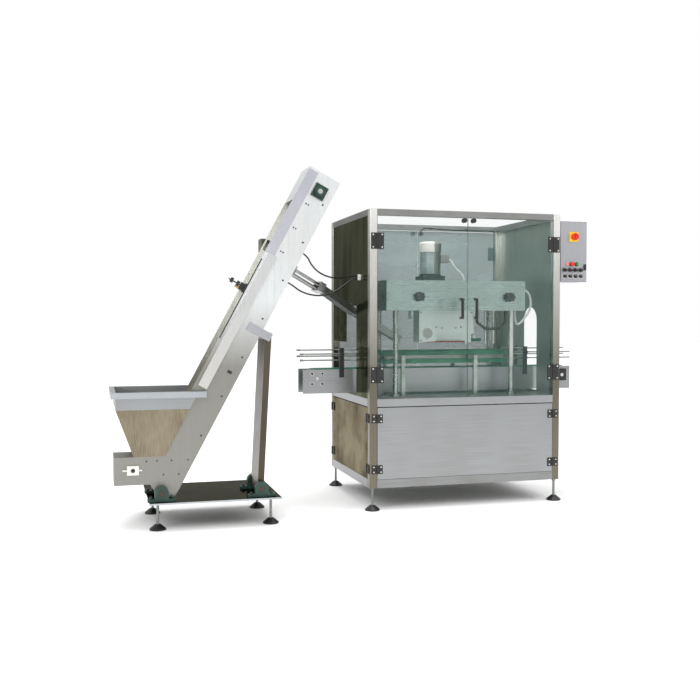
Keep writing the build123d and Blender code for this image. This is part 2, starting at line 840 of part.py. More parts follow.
with BuildPart() as head_motor:
    half = motor_flange / 2
    motor_z = housing_z1 + motor_flange_h
    block(motor_x - half, motor_x + half, motor_y - half, motor_y + half, housing_z1, motor_z - 14)
    rod((motor_x, motor_y, motor_z - 14), (motor_x, motor_y, motor_z), motor_r + 4)
    rod((motor_x, motor_y, motor_z), (motor_x, motor_y, motor_z + motor_body_h), motor_r - 5)
    with Locations((motor_x, motor_y, motor_z + motor_body_h / 2)):
        with PolarLocations(motor_r - 5, 20):
            Box(10, 4, motor_body_h)
    fan_z = motor_z + motor_body_h
    rod((motor_x, motor_y, fan_z), (motor_x, motor_y, fan_z + motor_fan_h), motor_fan_r)
    fillet(head_motor.faces().sort_by(Axis.Z)[-1].edges(), motor_fan_h / 4)
    term_x = motor_x + motor_r - 8
    term_z = motor_z + motor_body_h - 44
    block(
        term_x, term_x + term_w, motor_y - term_d / 2, motor_y + term_d / 2, term_z - term_h / 2,
        term_z + term_h / 2
    )
save(head_motor, "head_motor")

with BuildPart() as feed_box:
    feed_z = head_z0 - feed_h
    feed_x1 = feed_x0 + feed_w
    block(feed_x0, feed_x1, feed_y0, feed_y0 + feed_depth, feed_z, head_z0)
    block(
        feed_x1 - feed_notch_w, feed_x1, feed_y0, feed_y0 + feed_depth / 3, feed_z, feed_z + feed_notch_h,
        Mode.SUBTRACT,
    )
    disc = (feed_x0 + 60, feed_z + 62)
    rod((disc[0], feed_y0, disc[1]), (disc[0], feed_y0 - 3, disc[1]), feed_disc_r)
    block(
        feed_x1 - feed_notch_w, feed_x1 - 60, feed_y0, feed_y0 + feed_depth / 3, feed_z, feed_z + 8
    )
    for x, y in stay_spots:
        rod((x, y, disc_z - 10), (x, y, head_z0), stay_r)
        rod((x, y, disc_z - 15), (x, y, disc_z - 7), stay_r + 7)
    for x in (feed_x1 - 230, feed_x1 - 130):
        rod((x, feed_y0, head_z0 - 118), (x, feed_y0 - 4, head_z0 - 118), 6)
save(feed_box, "feed_box")

for name, y in spindle_spots:
    with BuildPart() as spindle:
        rod((spindle_x, y, disc_z), (spindle_x, y, head_z0 + head_wall + 24), spindle_r)
        rod((spindle_x, y, disc_z), (spindle_x, y, disc_z + disc_t), disc_r)
        rod((spindle_x, y, disc_z + disc_t), (spindle_x, y, disc_z + disc_t + 16), spindle_r + 8)
        rod((spindle_x, y, head_z0 - 40), (spindle_x, y, head_z0 - hinge_axial), spindle_r + 6)
    save(spindle, name)


def hose(points, bend, radius):
    """Add a round hose along straight runs joined by arcs."""
    with BuildLine() as route:
        FilletPolyline(*points, radius=bend)
    start = route.line @ 0
    with BuildSketch(Plane(origin=start, z_dir=route.line % 0)) as ring:
        Circle(radius)
    sweep(ring.sketch, path=route.line)


def loop(points, leave, arrive, radius):
    """Add a round hose that bends freely from one face to another."""
    with BuildLine() as route:
        Spline(*points, tangents=(leave, arrive))
    with BuildSketch(Plane(origin=points[0], z_dir=leave)) as ring:
        Circle(radius)
    sweep(ring.sketch, path=route.line)


with BuildPart() as head_hoses:
    lead_x = term_x + term_w
    loop(
        [
            (lead_x, motor_y, term_z),
            (lead_x + lead_run * 0.38, motor_y, term_z - lead_run * 0.32),
            (lead_x + lead_run, motor_y, housing_z1),
        ],
        (1, 0, 0), (0, 0, -1), lead_r,
    )
    line_y = feed_y0 + line_inset
    hose(
        [
            (line_x0, line_y, head_z0),
            (line_x0, line_y, head_z0 - line_sag * 0.64),
            (line_x0 + line_run * 0.3, line_y, head_z0 - line_sag),
            (line_x0 + line_run * 0.84, line_y, head_z0 - line_sag * 0.98),
            (line_x0 + line_run, line_y, head_z0 - line_sag * 0.56),
            (line_x0 + line_run, line_y, head_z0),
        ],
        line_bend, line_r,
    )
    loop_x = housing_x1
    loop_z = head_z0 + loop_high
    loop(
        [
            (loop_x, loop_y, loop_z),
            (loop_x + loop_reach * 0.92, loop_y, loop_z - loop_high * 0.27),
            (loop_x + loop_reach, loop_y, head_z0 + loop_high * 0.13),
            (loop_x + loop_reach * 0.4, loop_y, head_z0 - loop_sag),
            (loop_x - loop_back, loop_y, head_z0),
        ],
        (1, 0, 0), (0, 0, 1), loop_r,
    )
save(head_hoses, "head_hoses")

# ---------------------------------------------------------------- side grippers
belt_levels = (grip_low, grip_low + grip_belt_h + grip_gap)
for name, side in (("gripper_front", -1), ("gripper_rear", 1)):
    belt_out = grip_pulley_r + grip_belt_t
    axle_y = conv_y + side * (grip_face + belt_out)
    ends = [(grip_x0 + belt_out, axle_y), (grip_x1 - belt_out, axle_y)]
    with BuildPart() as gripper_belts:
        for z in belt_levels:
            with BuildSketch(Plane.XY.offset(z)):
                stadium(*ends, belt_out)
                stadium(*ends, grip_pulley_r, Mode.SUBTRACT)
            extrude(amount=grip_belt_h)
    save(gripper_belts, f"{name}_belts")
    with BuildPart() as gripper:
        beam_z = grip_low + grip_belt_h + grip_gap / 2
        for x, y in ends:
            rod((x, y, grip_low - 6), (x, y, belt_levels[1] + grip_belt_h + 6), grip_pulley_r * 0.4)
            for z in belt_levels:
                rod((x, y, z), (x, y, z + grip_belt_h), grip_pulley_r)
        half_y, half_z = grip_beam_d / 2, grip_beam_h / 2
        block(ends[0][0], ends[1][0], axle_y - half_y, axle_y + half_y, beam_z - half_z, beam_z + half_z)
        for x in slide_x:
            block_y = sorted((axle_y, axle_y + side * (half_y + slide_block_d)))
            block(x - slide_block_w / 2, x + slide_block_w / 2, *block_y, beam_z - half_z, beam_z + half_z)
            bore_y = (axle_y - side * half_y, axle_y + side * (half_y + slide_block_d))
            rod((x, bore_y[0], beam_z), (x, bore_y[1], beam_z), slide_rod_r + slide_play, Mode.SUBTRACT)
    save(gripper, name)

# ---------------------------------------------------------------- conveyor
conv_y0 = conv_y - conv_w / 2
conv_y1 = conv_y + conv_w / 2
inner_y0 = conv_y0 + conv_plate_t
inner_y1 = conv_y1 - conv_plate_t

with BuildPart() as conveyor_frame:
    for low, high, out, lead in ((conv_y0, inner_y0, conv_y0, -1), (inner_y1, conv_y1, conv_y1, 1)):
        block(conv_x0, conv_x1, low, high, conv_bottom, conv_plate_top)
        for x in roller_x:
            rod((x, low, roller_z), (x, high, roller_z), shaft_r + hinge_play, Mode.SUBTRACT)
        for across in (-1, 1):
            for up in (-1, 1):
                x = roller_x[0] + across * bolt_pitch / 2
                z = roller_z + up * bolt_pitch / 2
                rod((x, out, z), (x, out + lead * bolt_head_h, z), bolt_head_r)
    for x in (cab_x + 180, cab_x1 - 180):
        for low, high in ((conv_y0, inner_y0 + 34), (inner_y1 - 34, conv_y1)):
            block(x - 25, x + 25, low, high, deck_z, conv_bottom)
    for x in (conv_x0 + 220, seam_x, conv_x1 - 200):
        rod((x, inner_y0, conv_bottom + 16), (x, inner_y1, conv_bottom + 16), 8)
save(conveyor_frame, "conveyor_frame")

with BuildPart() as conveyor_belt:
    belt_half = (inner_y1 - inner_y0) / 2 - 1
    ends = [(x, roller_z) for x in roller_x]
    with BuildSketch(section(conv_y)):
        stadium(*ends, roller_r + belt_play + belt_t)
        stadium(*ends, roller_r + belt_play, Mode.SUBTRACT)
    extrude(amount=belt_half, both=True)
save(conveyor_belt, "conveyor_belt")

for name, x in zip(("conveyor_roller_idle", "conveyor_roller_drive"), roller_x):
    with BuildPart() as roller:
        rod((x, inner_y0 + 2, roller_z), (x, inner_y1 - 2, roller_z), roller_r)
        reach = bearing_h + 4 if x > seam_x else 6
        rod((x, conv_y0 - reach, roller_z), (x, conv_y1 + reach, roller_z), shaft_r)
    save(roller, name)

rod_levels = {-1: (rod_low, rod_high), 1: (rod_low + rod_far_lift, rod_high + rod_far_lift)}
with BuildPart() as guide_rails:
    spans = ((conv_x0 - rod_over, grip_x0 - 12), (grip_x1 + 12, conv_x1 + rod_over))
    for side in (-1, 1):
        y = conv_y + side * rod_lane / 2
        for z in rod_levels[side]:
            for x0, x1 in spans:
                rod((x0, y, z), (x1, y, z), rod_r)
            rod((spans[0][0] - 2, y, z), (spans[0][0] + rod_tip, y, z), rod_tip_r)
    for x in rail_bracket_x:
        for side in (-1, 1):
            face = conv_y + side * conv_w / 2
            half = rail_bracket_w / 2
            block(
                x - half, x + half, *sorted((face, face + side * rail_bracket_t)), rail_bracket_low,
                rail_bracket_top
            )
            for z in rod_levels[side]:
                rod((x, face, z), (x, conv_y + side * rod_lane / 2, z), rod_stem_r)
            seat = face + side * rail_bracket_t
            rod((x, seat, z), (x, seat + side * rail_knob_h, z), rail_knob_r)
save(guide_rails, "guide_rails")

# ---------------------------------------------------------------- elevator
edge_x = slope_x(elev_depth, boot_z1)
foot_z = pivot_z - 28
head_shaft = along(head_u, head_v)
tail_shaft = (tail_x, tail_z)
bend = (slope_x(head_v, tail_z), tail_z)
pivot_spots = [(x, pivot_z) for x in pivot_x]
side_outline = [
    along(0, elev_depth), along(0, 0), along(-elev_len, 0), (pivot_x[0] + 78, foot_z),
    (pivot_x[0] - 22, foot_z),
    (pivot_x[0] - 64, boot_z0), (boot_x0, boot_z0), (boot_x0, boot_z1), (edge_x, boot_z1),
]

with BuildPart() as elevator_casing:
    for y in (elev_y0 + elev_t, elev_y1):
        with BuildSketch(section(y)):
            Polygon(*side_outline, align=None)
            with Locations(head_shaft, tail_shaft, pivot_spots[0]):
                Circle(pivot_r + 1, mode=Mode.SUBTRACT)
        extrude(amount=elev_t)
    inside = (elev_y0 + elev_t, elev_y1 - elev_t)
    with BuildSketch(section(inside[1])) as skins:
        Polygon(
            along(-elev_len, 0), along(0, 0), along(0, elev_depth), along(-230, elev_depth),
            along(-230, elev_depth - elev_t), along(-elev_t, elev_depth - elev_t), along(-elev_t, elev_t),
            along(-elev_len, elev_t), align=None,
        )
        with Locations(((boot_x0 + elev_t / 2), (boot_z0 + boot_z1) / 2)):
            Rectangle(elev_t, boot_z1 - boot_z0)
        Polygon(
            (boot_x0, boot_z0), (pivot_x[0] - 40, boot_z0), (pivot_x[0] - 40, boot_z0 + elev_t),
            (boot_x0, boot_z0 + elev_t), align=None,
        )
        Polygon(
            (boot_x0, boot_z1 - elev_t), (hopper_foot_x0, boot_z1 - elev_t), (hopper_foot_x0, boot_z1),
            (boot_x0, boot_z1), align=None,
        )
    extrude(to_extrude=skins.sketch, amount=inside[1] - inside[0])
    with Locations(incline):
        with Locations(((seal_strip_u0 + seal_strip_u1) / 2, elev_depth - edge_strip_w / 2, -elev_y0 + edge_strip_t / 2)):
            Box(seal_strip_u1 - seal_strip_u0, edge_strip_w, edge_strip_t)
        with Locations(((guard_u0 + guard_u1) / 2, (guard_v0 + guard_v1) / 2, -elev_y0 + guard_depth / 2)):
            Box(guard_u1 - guard_u0, guard_v1 - guard_v0, guard_depth)
        with Locations(((guard_u0 + guard_u1) / 2, (guard_v0 + guard_v1) / 2, -elev_y0 + guard_depth / 2 - elev_t)):
            Box(guard_u1 - guard_u0, guard_v1 - guard_v0 - 2 * elev_t, guard_depth, mode=Mode.SUBTRACT)
        with Locations((window_u, window_v, -(elev_y1 - elev_t / 2))):
            Box(window_w, window_h, elev_t, mode=Mode.SUBTRACT)
save(elevator_casing, "elevator_casing")

belt_outer = drum_r + belt_play + drum_belt_t
belt_wide = elev_w - 2 * elev_t - 8

with BuildPart() as elevator_belt:
    with BuildSketch(section(elev_mid)):
        for mode, radius in ((Mode.ADD, belt_outer), (Mode.SUBTRACT, drum_r + belt_play)):
            stadium(tail_shaft, bend, radius, mode)
            stadium(bend, head_shaft, radius, mode)
    extrude(amount=belt_wide / 2, both=True)
    climb = distance((*bend, 0), (*head_shaft, 0))
    for number in range(1, int(climb / cleat_pitch)):
        u = head_u - number * cleat_pitch
        for side in (-1, 1):
            v = head_v + side * (belt_outer + cleat_h / 2 - 0.5)
            with Locations(incline):
                with Locations((u, v, -elev_mid)):
                    Box(cleat_t, cleat_h + 1, belt_wide)
    for number in range(1, int((bend[0] - tail_x) / cleat_pitch) + 1):
        for side in (-1, 1):
            with Locations((tail_x + (number - 0.6) * cleat_pitch, elev_mid, tail_z + side * (belt_outer + cleat_h / 2))):
                Box(cleat_t, belt_wide, cleat_h + 1)
save(elevator_belt, "elevator_belt")

with BuildPart() as elevator_head_drum:
    x, z = head_shaft
    rod((x, elev_y0 + elev_t + 3, z), (x, elev_y1 - elev_t - 3, z), drum_r)
    rod((x, elev_y0 - bearing_h - 3, z), (x, elev_y1 + bearing_h + 3, z), bearing_shaft_r)
save(elevator_head_drum, "elevator_head_drum")

with BuildPart() as elevator_tail_drum:
    rod((tail_x, elev_y0 + elev_t + 3, tail_z), (tail_x, elev_y1 - elev_t - 3, tail_z), drum_r)
    rod((tail_x, elev_y0 - takeup_t - 2, tail_z), (tail_x, elev_y1 + takeup_t + 2, tail_z), takeup_shaft_r)
save(elevator_tail_drum, "elevator_tail_drum")


def pillow_block(x, y):
    """Add a foot-mounted bearing housing on the elevator's base plate."""
    floor = base_z + base_t
    half = block_w / 2
    block(x - block_len / 2, x + block_len / 2, y - half, y + half, floor, floor + block_foot_h)
    block(x - block_r, x + block_r, y - half, y + half, floor, pivot_z)
    rod((x, y - half, pivot_z), (x, y + half, pivot_z), block_r)
    rod((x, y - half, pivot_z), (x, y + half, pivot_z), pivot_r, Mode.SUBTRACT)
    for side in (-1, 1):
        bolt_x = x + side * (block_len / 2 - 20)
        rod((bolt_x, y, floor + block_foot_h), (bolt_x, y, floor + block_foot_h + 12), 9)


block_rows = (elev_y0 - block_gap - block_w / 2, elev_y1 + block_gap + block_w / 2)

with BuildPart() as bearing_housings:
    for face, lead in ((elev_y0, -1), (elev_y1, 1)):
        with Locations(incline):
            with Locations((head_u, head_v, -(face + lead * bearing_h / 4))):
                Box(bearing_w, bearing_w, bearing_h / 2)
            with Locations((head_u, head_v, -(face + lead * bearing_h / 2))):
                Cylinder(bearing_r + 6, bearing_h)
                Cylinder(bearing_shaft_r + hinge_play, bearing_h + 1, mode=Mode.SUBTRACT)
            with Locations((head_u, head_v, -(face + lead * (bearing_h / 2 + 3)))):
                with GridLocations(bearing_w - 22, bearing_w - 22, 2, 2):
                    Cylinder(7, 6)
    x = roller_x[1]
    for face, lead in ((conv_y0, -1), (conv_y1, 1)):
        half = bearing_w / 2
        block(
            x - half, x + half, *sorted((face + lead * bolt_head_h, face + lead * 16)), roller_z - half,
            roller_z + half,
        )
        rod((x, face, roller_z), (x, face + lead * bearing_h, roller_z), bearing_r)
        rod(
            (x, face, roller_z), (x, face + lead * bearing_h, roller_z), shaft_r + hinge_play,
            Mode.SUBTRACT,
        )
    for x in pivot_x:
        for y in block_rows:
            pillow_block(x, y)
save(bearing_housings, "bearing_housings")

with BuildPart() as elevator_base:
    block(base_x0, base_x1, base_y0, base_y1, base_z, base_z + base_t)
save(elevator_base, "elevator_base")

post_base = (pivot_x[1], pivot_z)
post_head = (post_top_x, post_top_z)
lean = degrees(atan2(post_head[1] - post_base[1], post_head[0] - post_base[0]))
post_len = distance((*post_base, 0), (*post_head, 0))
post_y0, post_y1 = elev_y0, elev_y1

with BuildPart() as support_post:
    post = Plane(origin=(post_base[0], post_y0, post_base[1]), z_dir=Vector(cos(radians(lean)), 0, sin(radians(lean))),
                 x_dir=(-sin(radians(lean)), 0, cos(radians(lean))))
    wide = post_y1 - post_y0
    with Locations(post):
        with Locations((0, -wide / 2, post_len / 2)):
            Box(post_w, wide, post_len + 2 * post_over)
            Box(post_w - 2 * elev_t, wide - 2 * elev_t, post_len + 2 * post_over, mode=Mode.SUBTRACT)
    for x, z, radius in ((*post_base, pivot_r), (*post_head, arm_pin_r)):
        rod((x, post_y0 - 1, z), (x, post_y1 + 1, z), radius, Mode.SUBTRACT)
    for x in pivot_x:
        ends = (block_rows[0] - block_w / 2 - 4, block_rows[1] + block_w / 2 + 4)
        rod((x, ends[0], pivot_z), (x, ends[1], pivot_z), pivot_r)
    for y, lead in ((elev_y0, -1), (elev_y1, 1)):
        with Locations(incline):
            with Locations((arm_u, (arm_hold - arm_reach) / 2, -(y + lead * arm_t / 2))):
                Box(arm_w, arm_hold + arm_reach, arm_t)
    rod(
        (*post_head[:1], elev_y0 - arm_t - 6, post_head[1]),
        (post_head[0], elev_y1 + arm_t + 6, post_head[1]), arm_pin_r,
    )
save(support_post, "support_post")

# ---------------------------------------------------------------- hopper
wall_x0 = rim_x0 + hopper_inset
wall_y0 = rim_y0 + hopper_inset
wall_y1 = rim_y1 - hopper_inset
wall_top = rim_z - rim_h
share = (hopper_break - boot_z1) / (wall_top - boot_z1)
break_right = hopper_foot_x1 + (hopper_right - hopper_foot_x1) * share
hopper_rings = [
    (hopper_foot_x0, hopper_foot_x1, elev_y0 - hopper_t, elev_y1 + hopper_t, boot_z1),
    (wall_x0, break_right, wall_y0, wall_y1, hopper_break),
    (wall_x0, hopper_right, wall_y0, wall_y1, wall_top),
]


def hopper_shell(inset, mode):
    """Add or cut the sloping and upright stretches of the hopper."""
    for low, high in zip(hopper_rings, hopper_rings[1:]):
        rings = []
        for x0, x1, y0, y1, z in (low, high):
            with BuildSketch(Plane.XY.offset(z)) as ring:
                with Locations(((x0 + x1) / 2, (y0 + y1) / 2)):
                    Rectangle(x1 - x0 - 2 * inset, y1 - y0 - 2 * inset)
            rings.append(ring.sketch.face())
        loft(rings, mode=mode)


with BuildPart() as hopper:
    hopper_shell(0, Mode.ADD)
    block(rim_x0, rim_x1, rim_y0, rim_y1, wall_top, rim_z)
    hopper_shell(hopper_t, Mode.SUBTRACT)
    block(
        wall_x0 + hopper_t, hopper_right - hopper_t, wall_y0 + hopper_t, wall_y1 - hopper_t, wall_top,
        rim_z,
        Mode.SUBTRACT,
    )
    clear_z = rim_z + rim_h
    with BuildSketch(section(elev_y1)) as elevator_way:
        Polygon(
            (slope_x(elev_depth, boot_z1 - 1), boot_z1 - 1), (slope_x(elev_depth, clear_z), clear_z),
            (rim_x1 + rim_h, clear_z), (rim_x1 + rim_h, boot_z1 - 1), align=None,
        )
    extrude(to_extrude=elevator_way.sketch, amount=elev_w, mode=Mode.SUBTRACT)
save(hopper, "hopper")

# ---------------------------------------------------------------- cap chute
with BuildPart() as cap_chute:
    spout_x, spout_z = along(window_u, window_v)
    half = spout_w / 2
    spout_low = chute_start[2] - chute_h
    block(spout_x - half, spout_x + half, elev_y1, elev_y1 + spout_d, spout_low, spout_z + half)
    block(
        spout_x - half + chute_t, spout_x + half - chute_t, elev_y1, elev_y1 + spout_d - chute_t, spout_low,
        spout_z + half - chute_t, Mode.SUBTRACT,
    )
    upper = chute_plane(chute_start, chute_joint)
    upper_len = distance(chute_start, chute_joint)
    ring_w, ring_h = chute_w / 2, chute_h / 2
    with Locations(upper):
        for x, y in ((-ring_w, 0), (ring_w, 0), (-ring_w * 0.6, -ring_h), (ring_w * 0.6, -ring_h), (0, ring_h)):
            with Locations((x, y, 0)):
                Cylinder(chute_rod_r, upper_len, align=(Align.CENTER, Align.CENTER, Align.MIN))
        for place, length in ((upper_len * 0.42, 12), (upper_len - clamp_len / 2, clamp_len)):
            with Locations((0, 0, place)):
                Box(chute_w + clamp_over, chute_h + clamp_over, length)
                Box(chute_w - chute_rod_r, chute_h - chute_rod_r, length, mode=Mode.SUBTRACT)
    for start, finish in ((chute_joint, chute_entry), (chute_entry, chute_end)):
        with Locations(chute_plane(start, finish)):
            length = distance(start, finish) + chute_t
            low = (Align.CENTER, Align.CENTER, Align.MIN)
            Box(chute_w, chute_h, length, align=low)
            with Locations((0, chute_t, -1)):
                Box(chute_w - 2 * chute_t, chute_h, length + 2, align=low, mode=Mode.SUBTRACT)
            with Locations((0, ring_h + chute_rod_r, 0)):
                Cylinder(chute_rod_r - 1, length, align=low)
            for place in (0.2, 0.8):
                with Locations((0, ring_h + chute_rod_r / 2, place * length)):
                    Box(chute_w, chute_rod_r, 14)
    inner_face = cab_x + panel_inset + panel_t
    block(
        inner_face, inner_face + hanger_t, cab_y + slot_front - 24, chute_entry[1] - chute_w / 2 + chute_t,
        chute_entry[2] - ring_h, chute_entry[2] + 10,
    )
save(cap_chute, "cap_chute")

# ---------------------------------------------------------------- elevator fittings
with BuildPart() as elevator_fittings:
    for y, lead in ((elev_y0, -1), (elev_y1, 1)):
        half_w, half_h = takeup_w / 2, takeup_h / 2
        block(
            tail_x - half_w, tail_x + half_w, *sorted((y, y + lead * takeup_t)), tail_z - half_h,
            tail_z + half_h
        )
        rod(
            (tail_x - half_w - 26, y + lead * takeup_t / 2, tail_z),
            (tail_x - half_w, y + lead * takeup_t / 2, tail_z), 5,
        )
        rod(
            (tail_x + half_w, y + lead * takeup_t / 2, tail_z),
            (tail_x + half_w + 18, y + lead * takeup_t / 2, tail_z), 5,
        )
        rod(
            (tail_x, y, tail_z), (tail_x, y + lead * takeup_t, tail_z), takeup_shaft_r + hinge_play,
            Mode.SUBTRACT,
        )
    outside = -elev_y0
    with Locations(incline):
        with Locations(((seal_u0 + seal_u1) / 2, elev_depth - seal_w / 2, outside + seal_w / 2)):
            Box(seal_u1 - seal_u0, seal_w, seal_w)
        for number in range(7):
            with Locations((-170 - number * 262, 34, outside + 1.5)):
                Cylinder(5.5, 3)
        for number in range(3):
            for v in (112, 128):
                with Locations((-215 - number * 165, v, outside + 1.5)):
                    Cylinder(4.5, 3)
        with Locations((-1331, 60, outside + 4)):
            Box(16, 26, 8)
        with Locations((sensor_u, elev_depth + 4, outside - 20)):
            Box(58, 8, 50)
        with Locations((sensor_u, elev_depth + 8 + 14, outside - 20)):
            Box(46, 28, 26)
        for v in (elev_depth + 50, elev_depth + 92):
            with Locations((sensor_u + 6, v, outside - 20)):
                Box(30, 17, 24)
    for u_shift, v0, v1, radius in ((6, 24, 112, 4), (-12, 30, 60, 9)):
        start = incline.from_local_coords(Vector(sensor_u + u_shift, elev_depth + v0, outside - 20))
        stop = incline.from_local_coords(Vector(sensor_u + u_shift, elev_depth + v1, outside - 20))
        rod(tuple(start), tuple(stop), radius)
    for x in (-1422, -1362, -1278, -1182):
        rod((x, elev_y0, boot_z1 - 27), (x, elev_y0 - 3, boot_z1 - 27), 4.5)
    for x in (-1325, -1236):
        rod((x, elev_y0, boot_z0 + 55), (x, elev_y0 - 3, boot_z0 + 55), 4.5)
save(elevator_fittings, "elevator_fittings")

# ---------------------------------------------------------------- cables
with BuildPart() as cable_gland:
    face = cab_x + panel_inset
    rod((face, gland_y, gland_z), (face - gland_len, gland_y, gland_z), gland_r)
    for off in (-nipple_off, nipple_off):
        start = (face - gland_len, gland_y, gland_z + off)
        rod(start, (face - gland_len - nipple_len, gland_y, gland_z + off), nipple_r)
    for point in (cable_upper_points[-1], cable_lower_points[-1]):
        away = Vector(-sin(slope), 0, cos(slope)) * grommet_len
        rod(point, tuple(Vector(*point) + away), grommet_r)
save(cable_gland, "cable_gland")


def cord_radii(points):
    """Largest sensible bend at each inner point of a cord's route."""
    radii = []
    for before, here, after in zip(points, points[1:], points[2:]):
        first = Vector(*here) - Vector(*before)
        second = Vector(*after) - Vector(*here)
        turn = radians(first.get_angle(second))
        radii.append(0.45 * min(first.length, second.length) / tan(turn / 2))
    return radii


for name, points in (("cable_upper", cable_upper_points), ("cable_lower", cable_lower_points)):
    radii = cord_radii(points)
    with BuildPart() as cable:
        with BuildLine() as route:
            FilletPolyline(*points, radius=radii)
        with BuildSketch(Plane(origin=route.line @ 0, z_dir=route.line % 0)):
            Circle(cable_d / 2)
        sweep(path=route.line)
    cable_length = sum(edge.length for edge in route.line.edges())
    expected = pi * cable_d ** 2 / 4 * cable_length
    print(name, "radii", [round(radius) for radius in radii], "length", round(cable_length, 1))
    print(name, "volume", round(cable.part.volume), "section times length", round(expected))
    save(cable, name)
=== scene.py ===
"""Visual model of an in-line bottle capping machine.

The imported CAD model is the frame. It gets its finishes, sensor leads and small fittings here, and a
studio around it. Sizes are in millimetres unless a comment says otherwise.
"""
from __future__ import annotations

import logging
from dataclasses import dataclass
from enum import Enum
from math import cos, inf, pi, radians, sin
from typing import Callable, Mapping, Optional, Sequence

import bmesh
import bpy
from bmesh.types import BMesh, BMVert
from bpy.types import Material, Node, NodeSocket, NodeTree
from mathutils import Matrix, Vector


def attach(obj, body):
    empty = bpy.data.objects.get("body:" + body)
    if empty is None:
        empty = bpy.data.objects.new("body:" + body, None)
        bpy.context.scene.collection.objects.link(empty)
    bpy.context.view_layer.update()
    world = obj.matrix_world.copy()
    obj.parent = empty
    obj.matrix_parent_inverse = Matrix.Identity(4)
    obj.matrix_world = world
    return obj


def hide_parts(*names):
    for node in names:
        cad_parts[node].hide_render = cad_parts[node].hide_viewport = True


LOG = logging.getLogger("capping_machine")
MM = 0.001
FRONTWARD = Vector((0, -1, 0))
IOR = 1.5  # of glass and of most plastics
FLAT = 0.9  # share of a normal along an axis that its face is square to
LEAN = 0.5  # least share for a face that looks along that axis

Spot = Callable[[Vector, Vector], bool]
Sockets = tuple[dict[str, object], dict[str, NodeSocket]]
Pair = tuple[float, float]
Triple = tuple[float, float, float]


class Grain(Enum):
    """Direction in which a sheet was brushed, or bars were drawn."""

    ALONG_X = 0
    ALONG_Y = 1
    ALONG_Z = 2


# ---------------- colour and nodes
def linear(code: str) -> tuple[float, float, float, float]:
    """Turn an sRGB hex colour into linear RGBA.

    Args:
        code: Six hex digits after a hash sign.

    Returns:
        Linear red, green, blue and an alpha of one.
    """
    parts = [int(code[start:start + 2], 16) / 255 for start in (1, 3, 5)]
    bent = [part / 12.92 if part <= 0.04045 else ((part + 0.055) / 1.055) ** 2.4 for part in parts]
    return (*bent, 1.0)


def add_node(
    tree: NodeTree,
    kind: str,
    settings: Optional[Mapping[str | int, object]] = None,
    links: Optional[Mapping[str | int, NodeSocket]] = None,
) -> Node:
    """Add one node with its settings and links.

    Args:
        tree: Node tree that takes the node.
        kind: Blender's name of the node type.
        settings: Node properties or socket values, by name or by socket number.
        links: Sockets that feed this node's inputs, by input name or number.

    Returns:
        The new node.
    """
    node = tree.nodes.new(kind)
    for name, value in (settings or {}).items():
        if isinstance(name, str) and name in node.bl_rna.properties:
            setattr(node, name, value)
        else:
            node.inputs[name].default_value = value
    for name, source in (links or {}).items():
        tree.links.new(source, node.inputs[name])
    return node


def noise(
    tree: NodeTree, pitch: Sequence[float], detail: float = 2.0, turn: float = 0.0
) -> NodeSocket:
    """Add soft noise with its own pitch along each axis.

    Args:
        tree: Node tree that takes the nodes.
        pitch: Size of the pattern along X, Y and Z, in millimetres.
        detail: Octaves of finer noise.
        turn: Lean of the pattern about Y, in radians.

    Returns:
        The noise value, from zero to one.
    """
    place = add_node(tree, "ShaderNodeTexCoord")
    lean = add_node(
        tree, "ShaderNodeMapping", {"Rotation": (0.0, turn, 0.0)}, {"Vector": place.outputs["Object"]}
    )
    spread = add_node(
        tree, "ShaderNodeMapping", {"Scale": tuple(1 / (size * MM) for size in pitch)},
        {"Vector": lean.outputs[0]},
    )
    cloud = add_node(
        tree, "ShaderNodeTexNoise", {"Scale": 1.0, "Detail": detail, "Roughness": 0.55},
        {"Vector": spread.outputs[0]},
    )
    return cloud.outputs[0]


def ranged(
    tree: NodeTree, value: NodeSocket,
    low: float = 0.0, high: float = 1.0, start: float = 0.3, stop: float = 0.7,
) -> NodeSocket:
    """Map a noise value onto a working range.

    Args:
        tree: Node tree that takes the node.
        value: Socket with the value.
        low: Result at the start.
        high: Result at the stop.
        start: Value that gives the low result.
        stop: Value that gives the high result.

    Returns:
        The mapped value.
    """
    mapped = add_node(
        tree, "ShaderNodeMapRange", {1: start, 2: stop, 3: low, 4: high}, {"Value": value}
    )
    return mapped.outputs[0]


def blended(
    tree: NodeTree, share: NodeSocket,
    first: NodeSocket | str, second: NodeSocket | str,
) -> NodeSocket:
    """Mix two colours by a share.

    Args:
        tree: Node tree that takes the node.
        share: How much of the second colour shows, from zero to one.
        first: Socket or sRGB hex of the first colour.
        second: Socket or sRGB hex of the second colour.

    Returns:
        The mixed colour.
    """
    mix = add_node(tree, "ShaderNodeMix", {"data_type": "RGBA"}, {0: share})
    for slot, colour in ((6, first), (7, second)):
        if isinstance(colour, str):
            mix.inputs[slot].default_value = linear(colour)
        else:
            tree.links.new(colour, mix.inputs[slot])
    return mix.outputs[2]


def relief(
    tree: NodeTree, height: NodeSocket, strength: float, depth: float
) -> NodeSocket:
    """Add a bump from a height value.

    Args:
        tree: Node tree that takes the node.
        height: Socket with the height.
        strength: Share of the relief that shows.
        depth: Height of the relief, in millimetres.

    Returns:
        The bumped normal.
    """
    bump = add_node(
        tree, "ShaderNodeBump", {"Strength": strength, "Distance": depth * MM}, {"Height": height}
    )
    return bump.outputs[0]


# ---------------- finishes
@dataclass(frozen=True)
class PaintedFloorShade:
    """Painted reflection and shade of the floor: the tone a tall upright piece is painted towards its
    foot.
    """

    low: str
    z_low: float
    z_high: float


